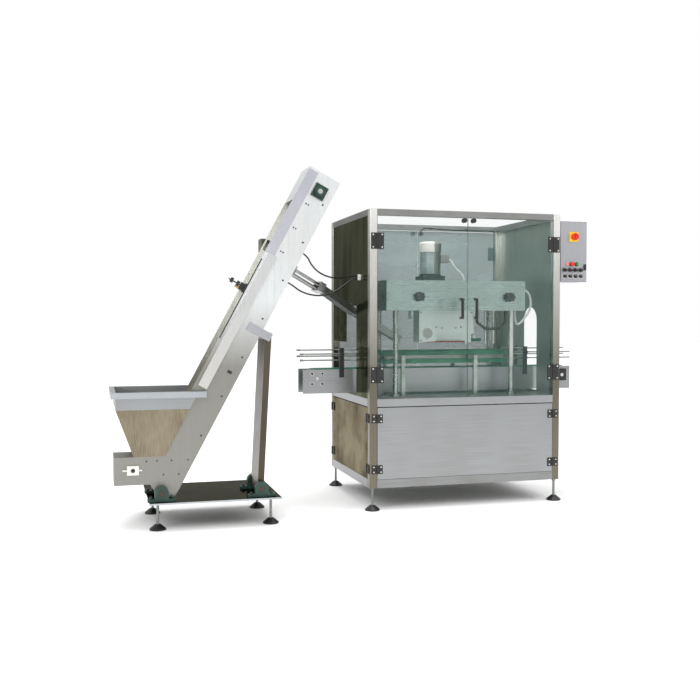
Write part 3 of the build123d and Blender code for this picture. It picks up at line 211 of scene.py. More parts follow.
@dataclass(frozen=True)
class Finish:
    """Name of a real material, and the two sRGB tones between which it varies."""

    name: str
    light: str
    dark: str

    def sockets(self, tree: NodeTree) -> Sockets:
        """Constants and links of the finish's one shader."""
        raise NotImplementedError

    def build(self) -> Material:
        """Make the material, with one shader and an output.

        Returns:
            The new material.
        """
        material = bpy.data.materials.new(self.name)
        material.use_nodes = True
        tree = material.node_tree
        tree.nodes.clear()
        settings, links = self.sockets(tree)
        shader = add_node(tree, "ShaderNodeBsdfPrincipled", settings, links)
        add_node(tree, "ShaderNodeOutputMaterial", links={"Surface": shader.outputs[0]})
        return material


@dataclass(frozen=True)
class BrushedStainless(Finish):
    """Stainless sheet or tube, ground with a fine belt: light stretches across the grain."""

    rough: float = 0.3
    grain: Grain = Grain.ALONG_X
    streak: float = 5.0  # real grit lines are 0.1 mm; drawn coarse enough to show
    smear: float = 240.0  # wiped, handled areas
    # painted reflection and shade of the floor towards the foot, if any
    floor_shade: Optional[PaintedFloorShade] = None
    stretch: float = 60.0  # length of a grit line over its width
    run: float = 1.6  # height of a smear over its width

    def sockets(self, tree: NodeTree) -> Sockets:
        """Sockets of the shader."""
        pitch = [self.streak] * 3
        pitch[self.grain.value] = self.streak * self.stretch
        lines = noise(tree, pitch, detail=3.0)
        smears = noise(tree, (self.smear, self.smear, self.smear * self.run))
        share = add_node(
            tree, "ShaderNodeMath", {"operation": "MULTIPLY"},
            {0: ranged(tree, lines, low=0.35), 1: ranged(tree, smears, low=0.2)},
        )
        colour = blended(tree, share.outputs[0], self.light, self.dark)
        # Painted reflection and shade of the floor: the colour turns to the low tone towards the foot.
        if self.floor_shade:
            place = add_node(tree, "ShaderNodeTexCoord")
            axes = add_node(tree, "ShaderNodeSeparateXYZ", links={0: place.outputs["Object"]})
            floor_shade_share = ranged(
                tree, axes.outputs[2], low=1.0, high=0.0,
                start=self.floor_shade.z_low * MM, stop=self.floor_shade.z_high * MM,
            )
            colour = blended(tree, floor_shade_share, colour, self.floor_shade.low)
        return (
            {"Metallic": 1.0},
            {
                "Base Color": colour,
                "Roughness": ranged(tree, lines, low=self.rough - 0.06, high=self.rough + 0.1),
                "Normal": relief(tree, lines, strength=0.12, depth=0.25),
            },
        )


@dataclass(frozen=True)
class PolishedStainless(Finish):
    """Buffed stainless sheet, its colour a painted reflection of its surroundings in broad shapes, long
    and upright by default.
    """

    rough: float = 0.16
    # size of the painted reflection shapes
    shape: Triple = (190.0, 190.0, 900.0)
    edge: str = "#ffffff"  # tint of what is mirrored at a glancing angle
    lean: float = 0.12  # of the painted reflection shapes, in radians
    wipe: float = 60.0  # cloth marks

    def sockets(self, tree: NodeTree) -> Sockets:
        """Sockets of the shader."""
        # Painted reflection: broad shapes of lighter and darker tone.
        reflection_shapes = noise(tree, self.shape, turn=self.lean)
        wipes = noise(tree, (self.wipe,) * 3, detail=3.0)
        colour = blended(tree, ranged(tree, reflection_shapes, start=0.38, stop=0.62), self.light, self.dark)
        return (
            {"Metallic": 1.0, "Specular Tint": linear(self.edge)},
            {
                "Base Color": colour,
                "Roughness": ranged(tree, wipes, low=self.rough - 0.04, high=self.rough + 0.08),
                "Normal": relief(tree, reflection_shapes, strength=0.08, depth=1.2),
            },
        )


@dataclass(frozen=True)
class PlainMetal(Finish):
    """Turned, plated or cast metal with a fine, even grain."""

    rough: float
    grit: float  # grain size
    depth: float = 0.05
    metallic: float = 1.0
    patch: float = 14.0  # size of a stain over the grain's

    def sockets(self, tree: NodeTree) -> Sockets:
        """Sockets of the shader."""
        grains = noise(tree, (self.grit,) * 3, detail=3.0)
        patches = noise(tree, (self.grit * self.patch,) * 3)
        colour = blended(tree, ranged(tree, patches), self.light, self.dark)
        return (
            {"Metallic": self.metallic},
            {
                "Base Color": colour,
                "Roughness": ranged(tree, grains, low=self.rough - 0.05, high=self.rough + 0.1),
                "Normal": relief(tree, grains, strength=0.2, depth=self.depth),
            },
        )


@dataclass(frozen=True)
class TemperedGlass(Finish):
    """Flat tempered soda-lime glass; its iron gives a sea-green veil that deepens at the cut edge."""

    clearness: float
    rough: float = 0.04
    veil: Triple = (500.0, 500.0, 110.0)

    def sockets(self, tree: NodeTree) -> Sockets:
        """Sockets of the shader."""
        veil = noise(tree, self.veil)
        return (
            {"IOR": IOR, "Roughness": self.rough, "Alpha": 1 - self.clearness},
            {"Base Color": blended(tree, ranged(tree, veil), self.light, self.dark)},
        )


@dataclass(frozen=True)
class Moulded(Finish):
    """Moulded plastic or rubber: even colour, a fine grain from the mould, dust in its hollows."""

    rough: float = 0.4
    grit: float = 1.6  # mould texture is 0.2 mm; drawn coarser so that it shows
    depth: float = 0.08
    dust: float = 45.0

    def sockets(self, tree: NodeTree) -> Sockets:
        """Sockets of the shader."""
        grains = noise(tree, (self.grit,) * 3, detail=3.0)
        dust = noise(tree, (self.dust,) * 3)
        return (
            {"IOR": IOR},
            {
                "Base Color": blended(tree, ranged(tree, dust), self.light, self.dark),
                "Roughness": ranged(tree, grains, low=self.rough - 0.07, high=self.rough + 0.1),
                "Normal": relief(tree, grains, strength=0.25, depth=self.depth),
            },
        )


@dataclass(frozen=True)
class WovenBelt(Finish):
    """Belt cover over a woven carcass, whose threads print through as a fine square weave."""

    thread: float = 2.4  # thread spacing
    rough: float = 0.55
    wear: Triple = (120.0, 30.0, 120.0)

    def sockets(self, tree: NodeTree) -> Sockets:
        """Sockets of the shader."""
        place = add_node(tree, "ShaderNodeTexCoord")
        weave = []  # 20 bands in every 2 pi at scale one
        for axis in ("X", "Y"):
            wave = add_node(
                tree, "ShaderNodeTexWave",
                {"bands_direction": axis, "Scale": 2 * pi / (20 * self.thread * MM), "Distortion": 0.4},
                {"Vector": place.outputs["Object"]},
            )
            weave.append(wave.outputs[1])
        threads = add_node(
            tree, "ShaderNodeMath", {"operation": "MULTIPLY"}, dict(enumerate(weave))
        )
        wear = noise(tree, self.wear, detail=3.0)
        return (
            {"IOR": IOR},
            {
                "Base Color": blended(tree, ranged(tree, wear), self.light, self.dark),
                "Roughness": ranged(tree, wear, low=self.rough - 0.08, high=self.rough + 0.1),
                "Normal": relief(tree, threads.outputs[0], strength=0.3, depth=0.15),
            },
        )


@dataclass(frozen=True)
class MattPaint(Finish):
    """Matt paint on boards, with wide, faint blotches."""

    rough: float = 0.9
    blotch: float = 900.0

    def sockets(self, tree: NodeTree) -> Sockets:
        """Sockets of the shader."""
        shade = noise(tree, (self.blotch,) * 3)
        return {"Roughness": self.rough}, {"Base Color": blended(tree, shade, self.light, self.dark)}


class Finishes:
    """Every finish of the machine, built once."""

    def __init__(self) -> None:
        """Build the materials."""
        # Square tube, 304 stainless, satin ground along its length: near white high up, and
        # a painted reflection of the floor makes it warm grey towards the floor.
        self.posts = BrushedStainless(
            "satin_stainless_tube_upright", "#ffffff", "#e9e8e2", 0.26, Grain.ALONG_Z,
            floor_shade=PaintedFloorShade("#6d685d", 850, 1960),
        ).build()
        # The same tube laid level keeps one tone along its length.
        self.rails = BrushedStainless(
            "satin_stainless_tube_level", "#a3a5a5", "#8a8986", 0.28,
        ).build()
        # Rails at deck height, in full light: a little lighter. At the foot, in the shade: darker.
        self.rail_light = BrushedStainless(
            "satin_stainless_tube_deck", "#9da0a2", "#919293", 0.3,
        ).build()
        self.rail_dark = BrushedStainless(
            "satin_stainless_tube_foot", "#8f9191", "#7c7c7a", 0.3,
        ).build()
        # Satin sheet of the lower front, grinding lines level: a soft, even light grey.
        self.front_sheet = BrushedStainless(
            "satin_stainless_sheet", "#9b9ea1", "#8e8e8d", 0.34, smear=420,
        ).build()
        # Control box sheet, the same finish in cooler light: a faint lavender cast.
        self.box_sheet = BrushedStainless(
            "satin_stainless_box", "#b4b5ba", "#9fa0a5", 0.36, Grain.ALONG_Z,
        ).build()
        # Inside and right-hand sheet, upright grain: mid grey with a painted green cast of the
        # light through the glass around it.
        self.inner_sheet = BrushedStainless(
            "satin_stainless_sheet_upright", "#b2bab3", "#929a93", 0.4, Grain.ALONG_Z,
        ).build()
        # Mirror-polished upper side sheet: olive black, a painted reflection of the dark hall.
        self.dark_mirror = PolishedStainless(
            "mirror_stainless_upper", "#6c7062", "#3c3f34", 0.14, edge="#c6c6bc",
        ).build()
        # Polished lower side sheet: warm olive brown, a painted reflection of the floor.
        self.warm_mirror = PolishedStainless(
            "mirror_stainless_lower", "#867f70", "#454036", 0.22, (260.0, 260.0, 260.0), "#c6c1b6",
        ).build()
        # Deck plate, ground level and scuffed: dull mid grey.
        self.deck = BrushedStainless(
            "ground_stainless_deck", "#8d918c", "#6f746f", 0.4,
        ).build()
        # 8 mm tempered glass, seen through: a thin sea-green veil.
        self.glass = TemperedGlass("tempered_glass", "#8fb3ac", "#6f938c", 0.95).build()
        # The rear panes: a greyer, denser veil, the painted reflection and shade of the darker back of
        # the hall.
        self.rear_glass = TemperedGlass(
            "tempered_glass_rear_painted_hall", "#869c9c", "#748989", 0.42, 0.12,
        ).build()
        # Its ground edge, seen along the sheet: darker and deeper green.
        self.glass_edge = TemperedGlass(
            "tempered_glass_edge", "#56786d", "#466559", 0.2, 0.15,
        ).build()
        # Glass-filled nylon, moulded: near black, soft sheen.
        self.nylon = Moulded("black_nylon", "#1d1d20", "#141416", 0.38).build()
        # Nitrile rubber, moulded: dull black.
        self.rubber = Moulded("black_rubber", "#222222", "#161616", 0.6).build()
        # Zinc-plated steel: bright, cool and slightly mottled.
        self.zinc = PlainMetal("zinc_plated_steel", "#c9cac8", "#a3a4a2", 0.3, 3).build()
        # Turned, polished stainless bar: bright with a thin highlight.
        self.bar = PlainMetal("polished_stainless_bar", "#d3d5d2", "#b2b5b1", 0.16, 8).build()
        # The same bar on the columns, dulled by oil, and darker with the painted shade of the cover.
        self.column_bar = PlainMetal("oiled_stainless_bar_painted_shade", "#a5ada7", "#868e88", 0.22, 8).build()
        # Head cover in polished sheet, grain level: light steel with soft blotches.
        self.head = BrushedStainless(
            "polished_stainless_cover", "#a9b9b5", "#95a5a0", 0.22, smear=130,
        ).build()
        # Plate of the feed box, satin: light, slightly green.
        self.feed = BrushedStainless(
            "satin_stainless_plate", "#b2bcb8", "#a2aca8", 0.34, Grain.ALONG_Z,
        ).build()
        # Motor casing, sprayed enamel on ribbed aluminium: pale cool grey.
        self.motor = PlainMetal("grey_enamel", "#aeb9b9", "#7e8b8b", 0.35, 5, metallic=0.25).build()
        # Gearbox flange, cast iron under dark enamel: near black green; also the painted shade under
        # the chute channel.
        self.gearbox_and_chute_shade = PlainMetal(
            "dark_enamel_casting_and_chute_shade", "#2a3531", "#171d1a", 0.5, 3, metallic=0.1,
        ).build()
        # PVC belt cover: mid green, satin.
        self.green_belt = WovenBelt("green_pvc_belt", "#0d6a48", "#07492f").build()
        # Food-grade polyurethane belt: warm cream.
        self.cream_belt = WovenBelt("cream_polyurethane_belt", "#e9e4cf", "#d8d2b9").build()
        # Green polyurethane edge cord: brighter green.
        self.green_cord = Moulded("green_polyurethane", "#1eae52", "#138040", 0.35).build()
        # Elevator sheet, bead-blasted stainless: pale, almost white and matt; a painted shade of the
        # floor greys it lower down.
        self.elevator = BrushedStainless(
            "blasted_stainless_sheet", "#dfe2e3", "#d0d2d2", 0.42, Grain.ALONG_Z, 7, 300,
            PaintedFloorShade("#8b8a85", 950, 1350),
        ).build()
        # Strip along its upper edge, a second sheet: cooler, with a lavender cast.
        self.edge_strip = BrushedStainless(
            "blasted_stainless_strip", "#c2c3ca", "#b0b1ba", 0.4, Grain.ALONG_Z,
        ).build()
        # Belt guard, folded sheet, satin: white grey, with a faint painted shade of the floor lower
        # down.
        self.guard = BrushedStainless(
            "satin_stainless_guard", "#d4d5d6", "#bfc0c0", 0.34, Grain.ALONG_Z,
            floor_shade=PaintedFloorShade("#c4c3be", 700, 1500),
        ).build()
        # Bearing housings, grey iron under enamel: bottle green, glossy on the corners.
        self.bearing = PlainMetal(
            "green_enamel_casting", "#1f4036", "#122a23", 0.4, 4, 0.1, 0.0,
        ).build()
        # Base plate, thick polished stainless: dark, a painted reflection of what stands on it.
        self.base = PolishedStainless(
            "polished_stainless_base", "#34342f", "#171813", 0.08, (260.0, 120.0, 260.0), "#b0b0a8",
        ).build()
        # Stand column, satin tube: brown grey, the painted shade of the elevator, darker still towards
        # the floor.
        self.column = BrushedStainless(
            "satin_stainless_column", "#675f56", "#4f4941", 0.3, Grain.ALONG_Z,
            floor_shade=PaintedFloorShade("#4c453d", 200, 1100),
        ).build()
        # Hopper, satin sheet, grain down the slope: warm beige grey.
        self.hopper = BrushedStainless(
            "satin_stainless_hopper", "#8c8371", "#6a6253", 0.3, Grain.ALONG_Z, smear=160,
        ).build()
        # Its folded rim: cooler and lighter.
        self.rim = BrushedStainless(
            "satin_stainless_rim", "#b0b4b8", "#9ea2a6", 0.34,
        ).build()
        # Chute channel, white high-density polyethylene: waxy, slightly pink.
        self.slideway = Moulded("white_polyethylene", "#d9d0c6", "#c3bab0", 0.45).build()
        # White nylon: glands, take-up slides, washers.
        self.white = Moulded("white_nylon", "#d6d6d2", "#c2c2bc", 0.5).build()
        # Brass, turned: yellow grey.
        self.brass = PlainMetal("turned_brass", "#b9a06a", "#8f7a4c", 0.28, 4).build()
        # Switch plate, printed polyester: signal yellow.
        self.yellow = Moulded("yellow_polyester_plate", "#f2c417", "#e0b110", 0.4).build()
        # ABS buttons, glossy.
        self.red = Moulded("red_abs", "#d32a1e", "#b51f17", 0.25).build()
        self.green = Moulded("green_abs", "#1fa04a", "#15803a", 0.25).build()
        # Polycarbonate lamp lens, unlit: milky pink red.
        self.lamp = Moulded("red_polycarbonate_lens", "#e88078", "#d9655e", 0.2).build()
        # Clear PVC hose: milky white.
        self.clear_hose = TemperedGlass("clear_pvc_hose", "#e4e8e6", "#d3d8d6", 0.35, 0.2).build()
        # PVC cable sheath, extruded: smooth black with a long highlight.
        self.sheath = Moulded("black_pvc_sheath", "#19191a", "#0f0f10", 0.34, 3.0, 0.04).build()
        # Anodised red stop strip.
        self.red_strip = PlainMetal(
            "red_anodised_strip", "#7c2a26", "#5e1d1b", 0.35, 3, metallic=0.6,
        ).build()


# ---------------- helpers for pieces
def placed(name: str, data: bpy.types.ID) -> bpy.types.Object:
    """Make an object of some data and put it into the scene."""
    thing = bpy.data.objects.new(name, data)
    bpy.context.scene.collection.objects.link(thing)
    return thing


def dress(node: str, material: Material) -> None:
    """Give a CAD node one finish all over."""
    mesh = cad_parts[node].data
    mesh.materials.clear()
    mesh.materials.append(material)
    mesh.polygons.foreach_set("material_index", [0] * len(mesh.polygons))
    LOG.info("dressed %s in %s", node, material.name)


def paint(node: str, material: Material, where: Spot) -> None:
    """Give some faces of a CAD node another finish.

    Args:
        node: Name of the CAD node.
        material: Finish of the chosen faces.
        where: Tells from a face's centre, in millimetres, and normal whether it is chosen.
    """
    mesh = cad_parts[node].data
    index = mesh.materials.find(material.name)
    if index < 0:
        mesh.materials.append(material)
        index = len(mesh.materials) - 1
    chosen = [face for face in mesh.polygons if where(face.center / MM, face.normal)]
    for face in chosen:
        face.material_index = index
    LOG.info("painted %d faces of %s in %s", len(chosen), node, material.name)


def within(low: Sequence[float], high: Sequence[float]) -> Spot:
    """Choose faces whose centre lies in a box.

    Args:
        low: Lowest corner, in millimetres.
        high: Highest corner, in millimetres.

    Returns:
        A test for paint.
    """
    return lambda centre, normal: all(a <= value <= b for a, value, b in zip(low, centre, high))


def span(axis: str, low: float = -inf, high: float = inf) -> Spot:
    """Choose faces whose centre lies between two places on one axis.

    Args:
        axis: One of x, y and z.
        low: Place beyond which faces are chosen, in millimetres.
        high: Place short of which they are chosen.

    Returns:
        A test for paint.
    """
    return lambda centre, normal: low < getattr(centre, axis) < high


def add_piece(name: str, mesh: BMesh, material: Material, body: str) -> None:
    """Turn a bmesh into a piece that rides on a body.

    Args:
        name: Name of the piece.
        mesh: Its mesh in the shared frame, in metres. It is freed.
        material: Its finish.
        body: CAD body that carries it.
    """
    data = bpy.data.meshes.new(name)
    mesh.to_mesh(data)
    mesh.free()
    data.materials.append(material)
    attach(placed(name, data), body)
    LOG.info("built %s on %s", name, body)


def circle(radius: float, sides: int, height: float = 0.0) -> list[Vector]:
    """Corners of a level circle over the origin, counter-clockwise."""
    angles = [2 * pi * step / sides for step in range(sides)]
    return [Vector((radius * cos(angle), radius * sin(angle), height)) for angle in angles]


def skin(
    mesh: BMesh, rings: Sequence[Sequence[BMVert]], hollow: bool = False
) -> None:
    """Join rings of corners with faces.

    Args:
        mesh: Open bmesh that holds the corners.
        rings: Rings with equally many corners, in order.
        hollow: Joins the last ring to the first instead of capping both.
    """
    after = rings[1:] + rings[:1] if hollow else rings[1:]
    for lower, upper in zip(rings, after):
        for step in range(len(lower)):
            turn = (step + 1) % len(lower)
            mesh.faces.new((lower[step], lower[turn], upper[turn], upper[step]))
    if not hollow:
        mesh.faces.new(rings[-1])
        mesh.faces.new(list(reversed(rings[0])))


def turned(
    mesh: BMesh, centre: Sequence[float], lead: Vector,
    profile: Sequence[Pair], sides: int, hollow: bool = False,
) -> None:
    """Add a turned form to a bmesh.

    Args:
        mesh: Open bmesh, in metres.
        centre: Foot of the form, in millimetres.
        lead: Direction in which the form rises.
        profile: Radius and height of each ring, in millimetres, from the foot up.
        sides: Corners in each ring.
        hollow: Makes a ring with a hole, whose profile closes on itself.
    """
    base = Matrix.Translation(Vector(centre) * MM) @ lead.to_track_quat("Z", "Y").to_matrix().to_4x4()
    skin(mesh, [
        [mesh.verts.new(base @ (spot * MM)) for spot in circle(radius, sides, height)]
        for radius, height in profile
    ], hollow)


def tube(
    mesh: BMesh, points: Sequence[Sequence[float]], radius: float, sides: int = 12
) -> None:
    """Add a round lead through points to a bmesh.

    Args:
        mesh: Open bmesh, in metres.
        points: Places along the lead, in millimetres.
        radius: Radius of the lead, in millimetres.
        sides: Corners in each ring.
    """
    route = [Vector(point) for point in points]
    rings = []
    for index, place in enumerate(route):
        run = route[min(index + 1, len(route) - 1)] - route[max(index - 1, 0)]
        turn = run.to_track_quat("Z", "Y").to_matrix()
        rings.append([mesh.verts.new((place + turn @ spot) * MM) for spot in circle(radius, sides)])
    skin(mesh, rings)


# ---------------- cabinet
@dataclass(frozen=True)
class HingeRow:
    """Hinges of one kind that stand above each other."""

    width: float
    height: float
    levels: tuple[float, ...]
    inset: float = 12.0  # from a screw to the plate's edges


DOOR_HINGES = HingeRow(84.0, 104.0, (876.0, 1735.0))
LEAF_HINGES = HingeRow(72.0, 56.0, (266.0, 594.0))


@dataclass
class Cabinet:
    """Guarded frame with glass doors over a sheet-metal base."""

    finishes: Finishes
    front_y: float = -380.0
    back_y: float = 600.0
    pane_faces: float = 0.01  # a rear pane's faces lie no further past back_y
    pane_edges: float = -0.1  # and the middles of its edges no further than this
    deck_rails: Pair = (640.0, 800.0)  # heights around the rails at the deck
    foot_rails: float = 240.0  # height above the lowest rails
    side_hardware: float = -10.6  # hinges of the left leaf lie beyond it
    leaf_skin: float = 0.6  # hinges of the front leaf stand out further
    hinge_front: float = 7.0  # how far hinges stand out from front_y
    hinge_lines: tuple[tuple[str, float, int], ...] = (("left", 40.0, 1), ("right", 1285.0, -1))
    screw_head: tuple[Pair, ...] = ((4.6, 0), (4.2, 1.4), (2.6, 2.2))
    lead_y: float = 545.9  # half a lead in front of the rear rail
    lead_radius: float = 4.0
    lead_line: tuple[Pair, ...] = (
        (664, 1862), (670, 1894), (700, 1919), (750, 1916), (850, 1911),
        (960, 1907), (1040, 1911), (1130, 1908), (1210, 1910), (1270, 1905),
    )
    clip: Pair = (7.5, 10.0)  # radius and length

    def dress(self) -> None:
        """Give the frame, panels, doors and feet their finishes."""
        look = self.finishes
        dress("frame_posts", look.posts)
        dress("frame_rails", look.rails)
        paint("frame_rails", look.rail_light, span("z", *self.deck_rails))
        paint("frame_rails", look.rail_dark, span("z", high=self.foot_rails))
        dress("deck_plates", look.deck)
        dress("side_panel_left", look.dark_mirror)
        dress("left_panel_lower", look.warm_mirror)
        paint("left_panel_lower", look.nylon, span("x", high=self.side_hardware))
        dress("front_panel_lower", look.front_sheet)
        paint("front_panel_lower", look.nylon, span("y", high=self.front_y - self.leaf_skin))
        dress("fixed_panels", look.inner_sheet)
        dress("hinges_fixed", look.nylon)
        for side in ("left", "right"):
            pane = f"front_{side}_door_glass"
            dress(pane, look.glass)
            paint(pane, look.glass_edge, lambda c, n: abs(n.y) < LEAN)
            dress(f"front_{side}_door_fittings", look.nylon)
            rear = f"rear_{side}_door"
            dress(rear, look.nylon)
            face_y, edge_y = self.back_y + self.pane_faces, self.back_y + self.pane_edges
            paint(rear, look.rear_glass, lambda c, n: c.y <= face_y and abs(n.y) > LEAN)
            paint(rear, look.glass_edge, lambda c, n: c.y <= edge_y and abs(n.y) < LEAN)
        dress("foot_pads", look.nylon)
        dress("foot_studs", look.deck)

    def build(self) -> None:
        """Add the screw heads of the hinges and the lamp lead."""
        mesh = bmesh.new()
        for _, x, inward in self.hinge_lines:
            for row in (DOOR_HINGES, LEAF_HINGES):
                self.add_screws(mesh, x, -inward, row)
        add_piece("hinge_screws_post_side", mesh, self.finishes.white, "machine")
        self.build_wiring()
        for row, bodies in (
            (DOOR_HINGES, ("door_front_left", "door_front_right")),
            (LEAF_HINGES, ("panel_front", "panel_front")),
        ):
            for body, (side, x, inward) in zip(bodies, self.hinge_lines):
                mesh = bmesh.new()
                self.add_screws(mesh, x, inward, row)
                add_piece(f"hinge_screws_{body}_{side}", mesh, self.finishes.white, body)

    def add_screws(self, mesh: BMesh, x: float, side: int, row: HingeRow) -> None:
        """Add the screw heads on one half of every hinge in a row.

        Args:
            mesh: Open bmesh, in metres.
            x: Place of the hinge pins.
            side: Half that is screwed: 1 for the right one, -1 for the left one.
            row: The hinges.
        """
        at_x, at_y = x + side * (row.width / 2 - row.inset), self.front_y - self.hinge_front
        for level in row.levels:
            for up in (-1, 1):
                at_z = level + up * (row.height / 2 - row.inset)
                turned(mesh, (at_x, at_y, at_z), FRONTWARD, self.screw_head, 16)

    def build_wiring(self) -> None:
        """Add the lamp lead tied along the rear top rail."""
        mesh = bmesh.new()
        tube(mesh, [(x, self.lead_y, z) for x, z in self.lead_line], self.lead_radius)
        add_piece("rail_wiring", mesh, self.finishes.rubber, "machine")
        mesh = bmesh.new()
        radius, length = self.clip
        ends = ((radius, -length / 2), (radius, length / 2))
        for x, z in self.lead_line[3::3]:
            turned(mesh, (x, self.lead_y, z), Vector((1, 0, 0)), ends, 16)
        add_piece("rail_wiring_clips", mesh, self.finishes.nylon, "machine")


@dataclass
class ControlBox:
    """Switch box on the right-hand side of the cabinet."""

    finishes: Finishes
    column_x: tuple[float, ...] = (1367.0, 1406.5, 1446.0, 1485.5)
    dials: tuple[tuple[str, float, float], ...] = (  # kind, height and front face
        ("selector", 1568.0, -401.7), ("speed", 1526.0, -394.2),
    )
    pointer_rise: float = 7.5  # from a dial's middle
    pointer_sunk: float = 0.4  # into its face
    pointer_dot: tuple[Pair, ...] = ((2.4, 0), (2.4, 0.3), (2.1, 0.6))

    def dress(self) -> None:
        """Give the box, plate, knobs and buttons their finishes."""
        look = self.finishes
        dress("control_box_shell", look.box_sheet)
        dress("control_box_door", look.box_sheet)
        for material, low, high in (
            (look.yellow, (1400, -384, 1755), (1472, -380.4, 1828)),  # isolator's plate
            (look.white, (1345, -382, 1500), (1510, -380.2, 1545)),  # scale behind the speed knobs
            (look.nylon, (1405, -386, 1590), (1475, -380.2, 1625)),  # collars of the buttons
            (look.nylon, (1510, -390, 1560), (1530, -380.2, 1610)),  # latch
            (look.lamp, (1370, -390, 1590), (1400, -380.2, 1625)),  # lamp
        ):
            paint("control_box_door", material, within(low, high))
        dress("main_switch", look.red)
        dress("emergency_stop", look.red)
        dress("start_button", look.green)
        for number in range(1, len(self.column_x) + 1):
            dress(f"selector_{number}", look.nylon)
            dress(f"speed_knob_{number}", look.nylon)

    def build(self) -> None:
        """Add the white pointer marks of the dials."""
        for number, x in enumerate(self.column_x, 1):
            for kind, level, face_y in self.dials:
                mesh = bmesh.new()
                place = (x, face_y + self.pointer_sunk, level + self.pointer_rise)
                turned(mesh, place, FRONTWARD, self.pointer_dot, 12)
                add_piece(f"pointer_{kind}_{number}", mesh, self.finishes.white, f"{kind}_{number}")


@dataclass
class CappingHead:
    """Lifting head with its motor, cap feed box, spindles and columns."""

    finishes: Finishes
    top_z: float = 1494.0  # top of the cover
    cover_foot: float = 1291.0  # height above the sleeves' lower ends
    gearbox_top: float = 53.0  # above top_z, as the next two
    fan_foot: float = 215.0
    terminal_foot: float = 100.0
    terminal_x: float = 552.0
    plate_y: float = -172.0  # front of the feed box
    plate_skin: float = 0.5  # the disc stands out further
    back_bar: Pair = (-62.0, 1290.0)  # y beyond and z below which it lies
    red_strip: tuple[Triple, ...] = ((520, -173, 1076), (735, -130, 1086))
    rubber_top: float = 1101.0  # height above the spindles' discs
    motor_lead_x: float = 810.0  # the motor's lead lies left of it
    clear_hose_x: float = 1100.0  # the clear hose lies right of it
    lock_thread_y: float = -233.0  # the knobs' threads lie behind it
    ring_place: Pair = (460.0, 1139.0)
    ring: tuple[Pair, ...] = ((40.0, 0), (40.0, 4.5), (34.5, 4.5), (34.5, 0))
    screws: tuple[Pair, ...] = (
        (412, 1280), (780, 1280), (412, 1090), (520, 1180), (700, 1180),
    )
    screw_head: tuple[Pair, ...] = ((5, 0), (5, 1.5), (3, 3))

    def dress(self) -> None:
        """Give the head its finishes."""
        look = self.finishes
        dress("head_housing", look.head)
        paint("head_housing", look.bar, span("z", high=self.cover_foot))
        dress("head_motor", look.motor)
        paint("head_motor", look.gearbox_and_chute_shade, span("z", high=self.top_z + self.gearbox_top))
        paint("head_motor", look.white, span("z", self.top_z + self.fan_foot))
        paint(
            "head_motor", look.deck,
            lambda c, n: c.x > self.terminal_x and c.z > self.top_z + self.terminal_foot,
        )
        dress("feed_box", look.feed)
        paint("feed_box", look.bar, lambda c, n: c.y > self.back_bar[0] and c.z < self.back_bar[1])
        paint("feed_box", look.deck, span("y", high=self.plate_y - self.plate_skin))
        paint("feed_box", look.red_strip, within(*self.red_strip))
        for name in ("front", "rear"):
            dress(f"spindle_{name}", look.bar)
            paint(f"spindle_{name}", look.green_belt, span("z", high=self.rubber_top))
        dress("head_hoses", look.rubber)
        paint("head_hoses", look.clear_hose, span("x", self.clear_hose_x))
        paint("head_hoses", look.white, span("x", high=self.motor_lead_x))
        dress("deck_columns", look.column_bar)
        for side in ("left", "right"):
            dress(f"lock_knob_{side}", look.nylon)
            paint(f"lock_knob_{side}", look.zinc, span("y", self.lock_thread_y))
        for name in ("front", "rear"):
            dress(f"gripper_{name}", look.deck)
            dress(f"gripper_{name}_belts", look.green_belt)

    def build(self) -> None:
        """Add the disc's ring and the screws on the feed box."""
        mesh = bmesh.new()
        x, z = self.ring_place
        turned(mesh, (x, self.plate_y, z), FRONTWARD, self.ring, 44, hollow=True)
        add_piece("feed_box_ring", mesh, self.finishes.bar, "head")
        mesh = bmesh.new()
        for x, z in self.screws:
            turned(mesh, (x, self.plate_y, z), FRONTWARD, self.screw_head, 16)
        add_piece("feed_box_screws", mesh, self.finishes.nylon, "head")


@dataclass
class Conveyor:
    """Belt conveyor through the cabinet, with its guide rails."""

    finishes: Finishes
    plate_y: float = -25.0
    far_y: float = 125.0
    end_x: float = -271.0
    end_plate_x: float = -200.0  # the end's bolts lie left of it
    bolt_skin: float = 0.4  # bolts stand out further from the plates
    bracket_skin: float = 0.1  # brackets reach within this of the plates
    axis_z: float = 835.0
    bolt_pitch: float = 70.0
    washer: tuple[Pair, ...] = ((12.0, 0), (12.0, 1.2), (10.5, 1.6))

    def outside(self, centre: Vector, margin: float) -> bool:
        """Tell whether a place lies further out than the side plates by a margin."""
        return centre.y < self.plate_y - margin or centre.y > self.far_y + margin

    def dress(self) -> None:
        """Give the conveyor its finishes."""
        look = self.finishes
        dress("conveyor_frame", look.front_sheet)
        paint(
            "conveyor_frame", look.nylon,
            lambda c, n: c.x < self.end_plate_x and self.outside(c, self.bolt_skin),
        )
        dress("conveyor_belt", look.green_belt)
        dress("conveyor_roller_idle", look.zinc)
        dress("conveyor_roller_drive", look.zinc)
        dress("guide_rails", look.deck)
        paint("guide_rails", look.nylon, lambda c, n: self.outside(c, -self.bracket_skin))

    def build(self) -> None:
        """Add the washers under the end bolts."""
        mesh = bmesh.new()
        for across in (-1, 1):
            for up in (-1, 1):
                x = self.end_x + across * self.bolt_pitch / 2
                z = self.axis_z + up * self.bolt_pitch / 2
                turned(mesh, (x, self.plate_y, z), FRONTWARD, self.washer, 20)
        add_piece("conveyor_end_washers", mesh, self.finishes.white, "machine")


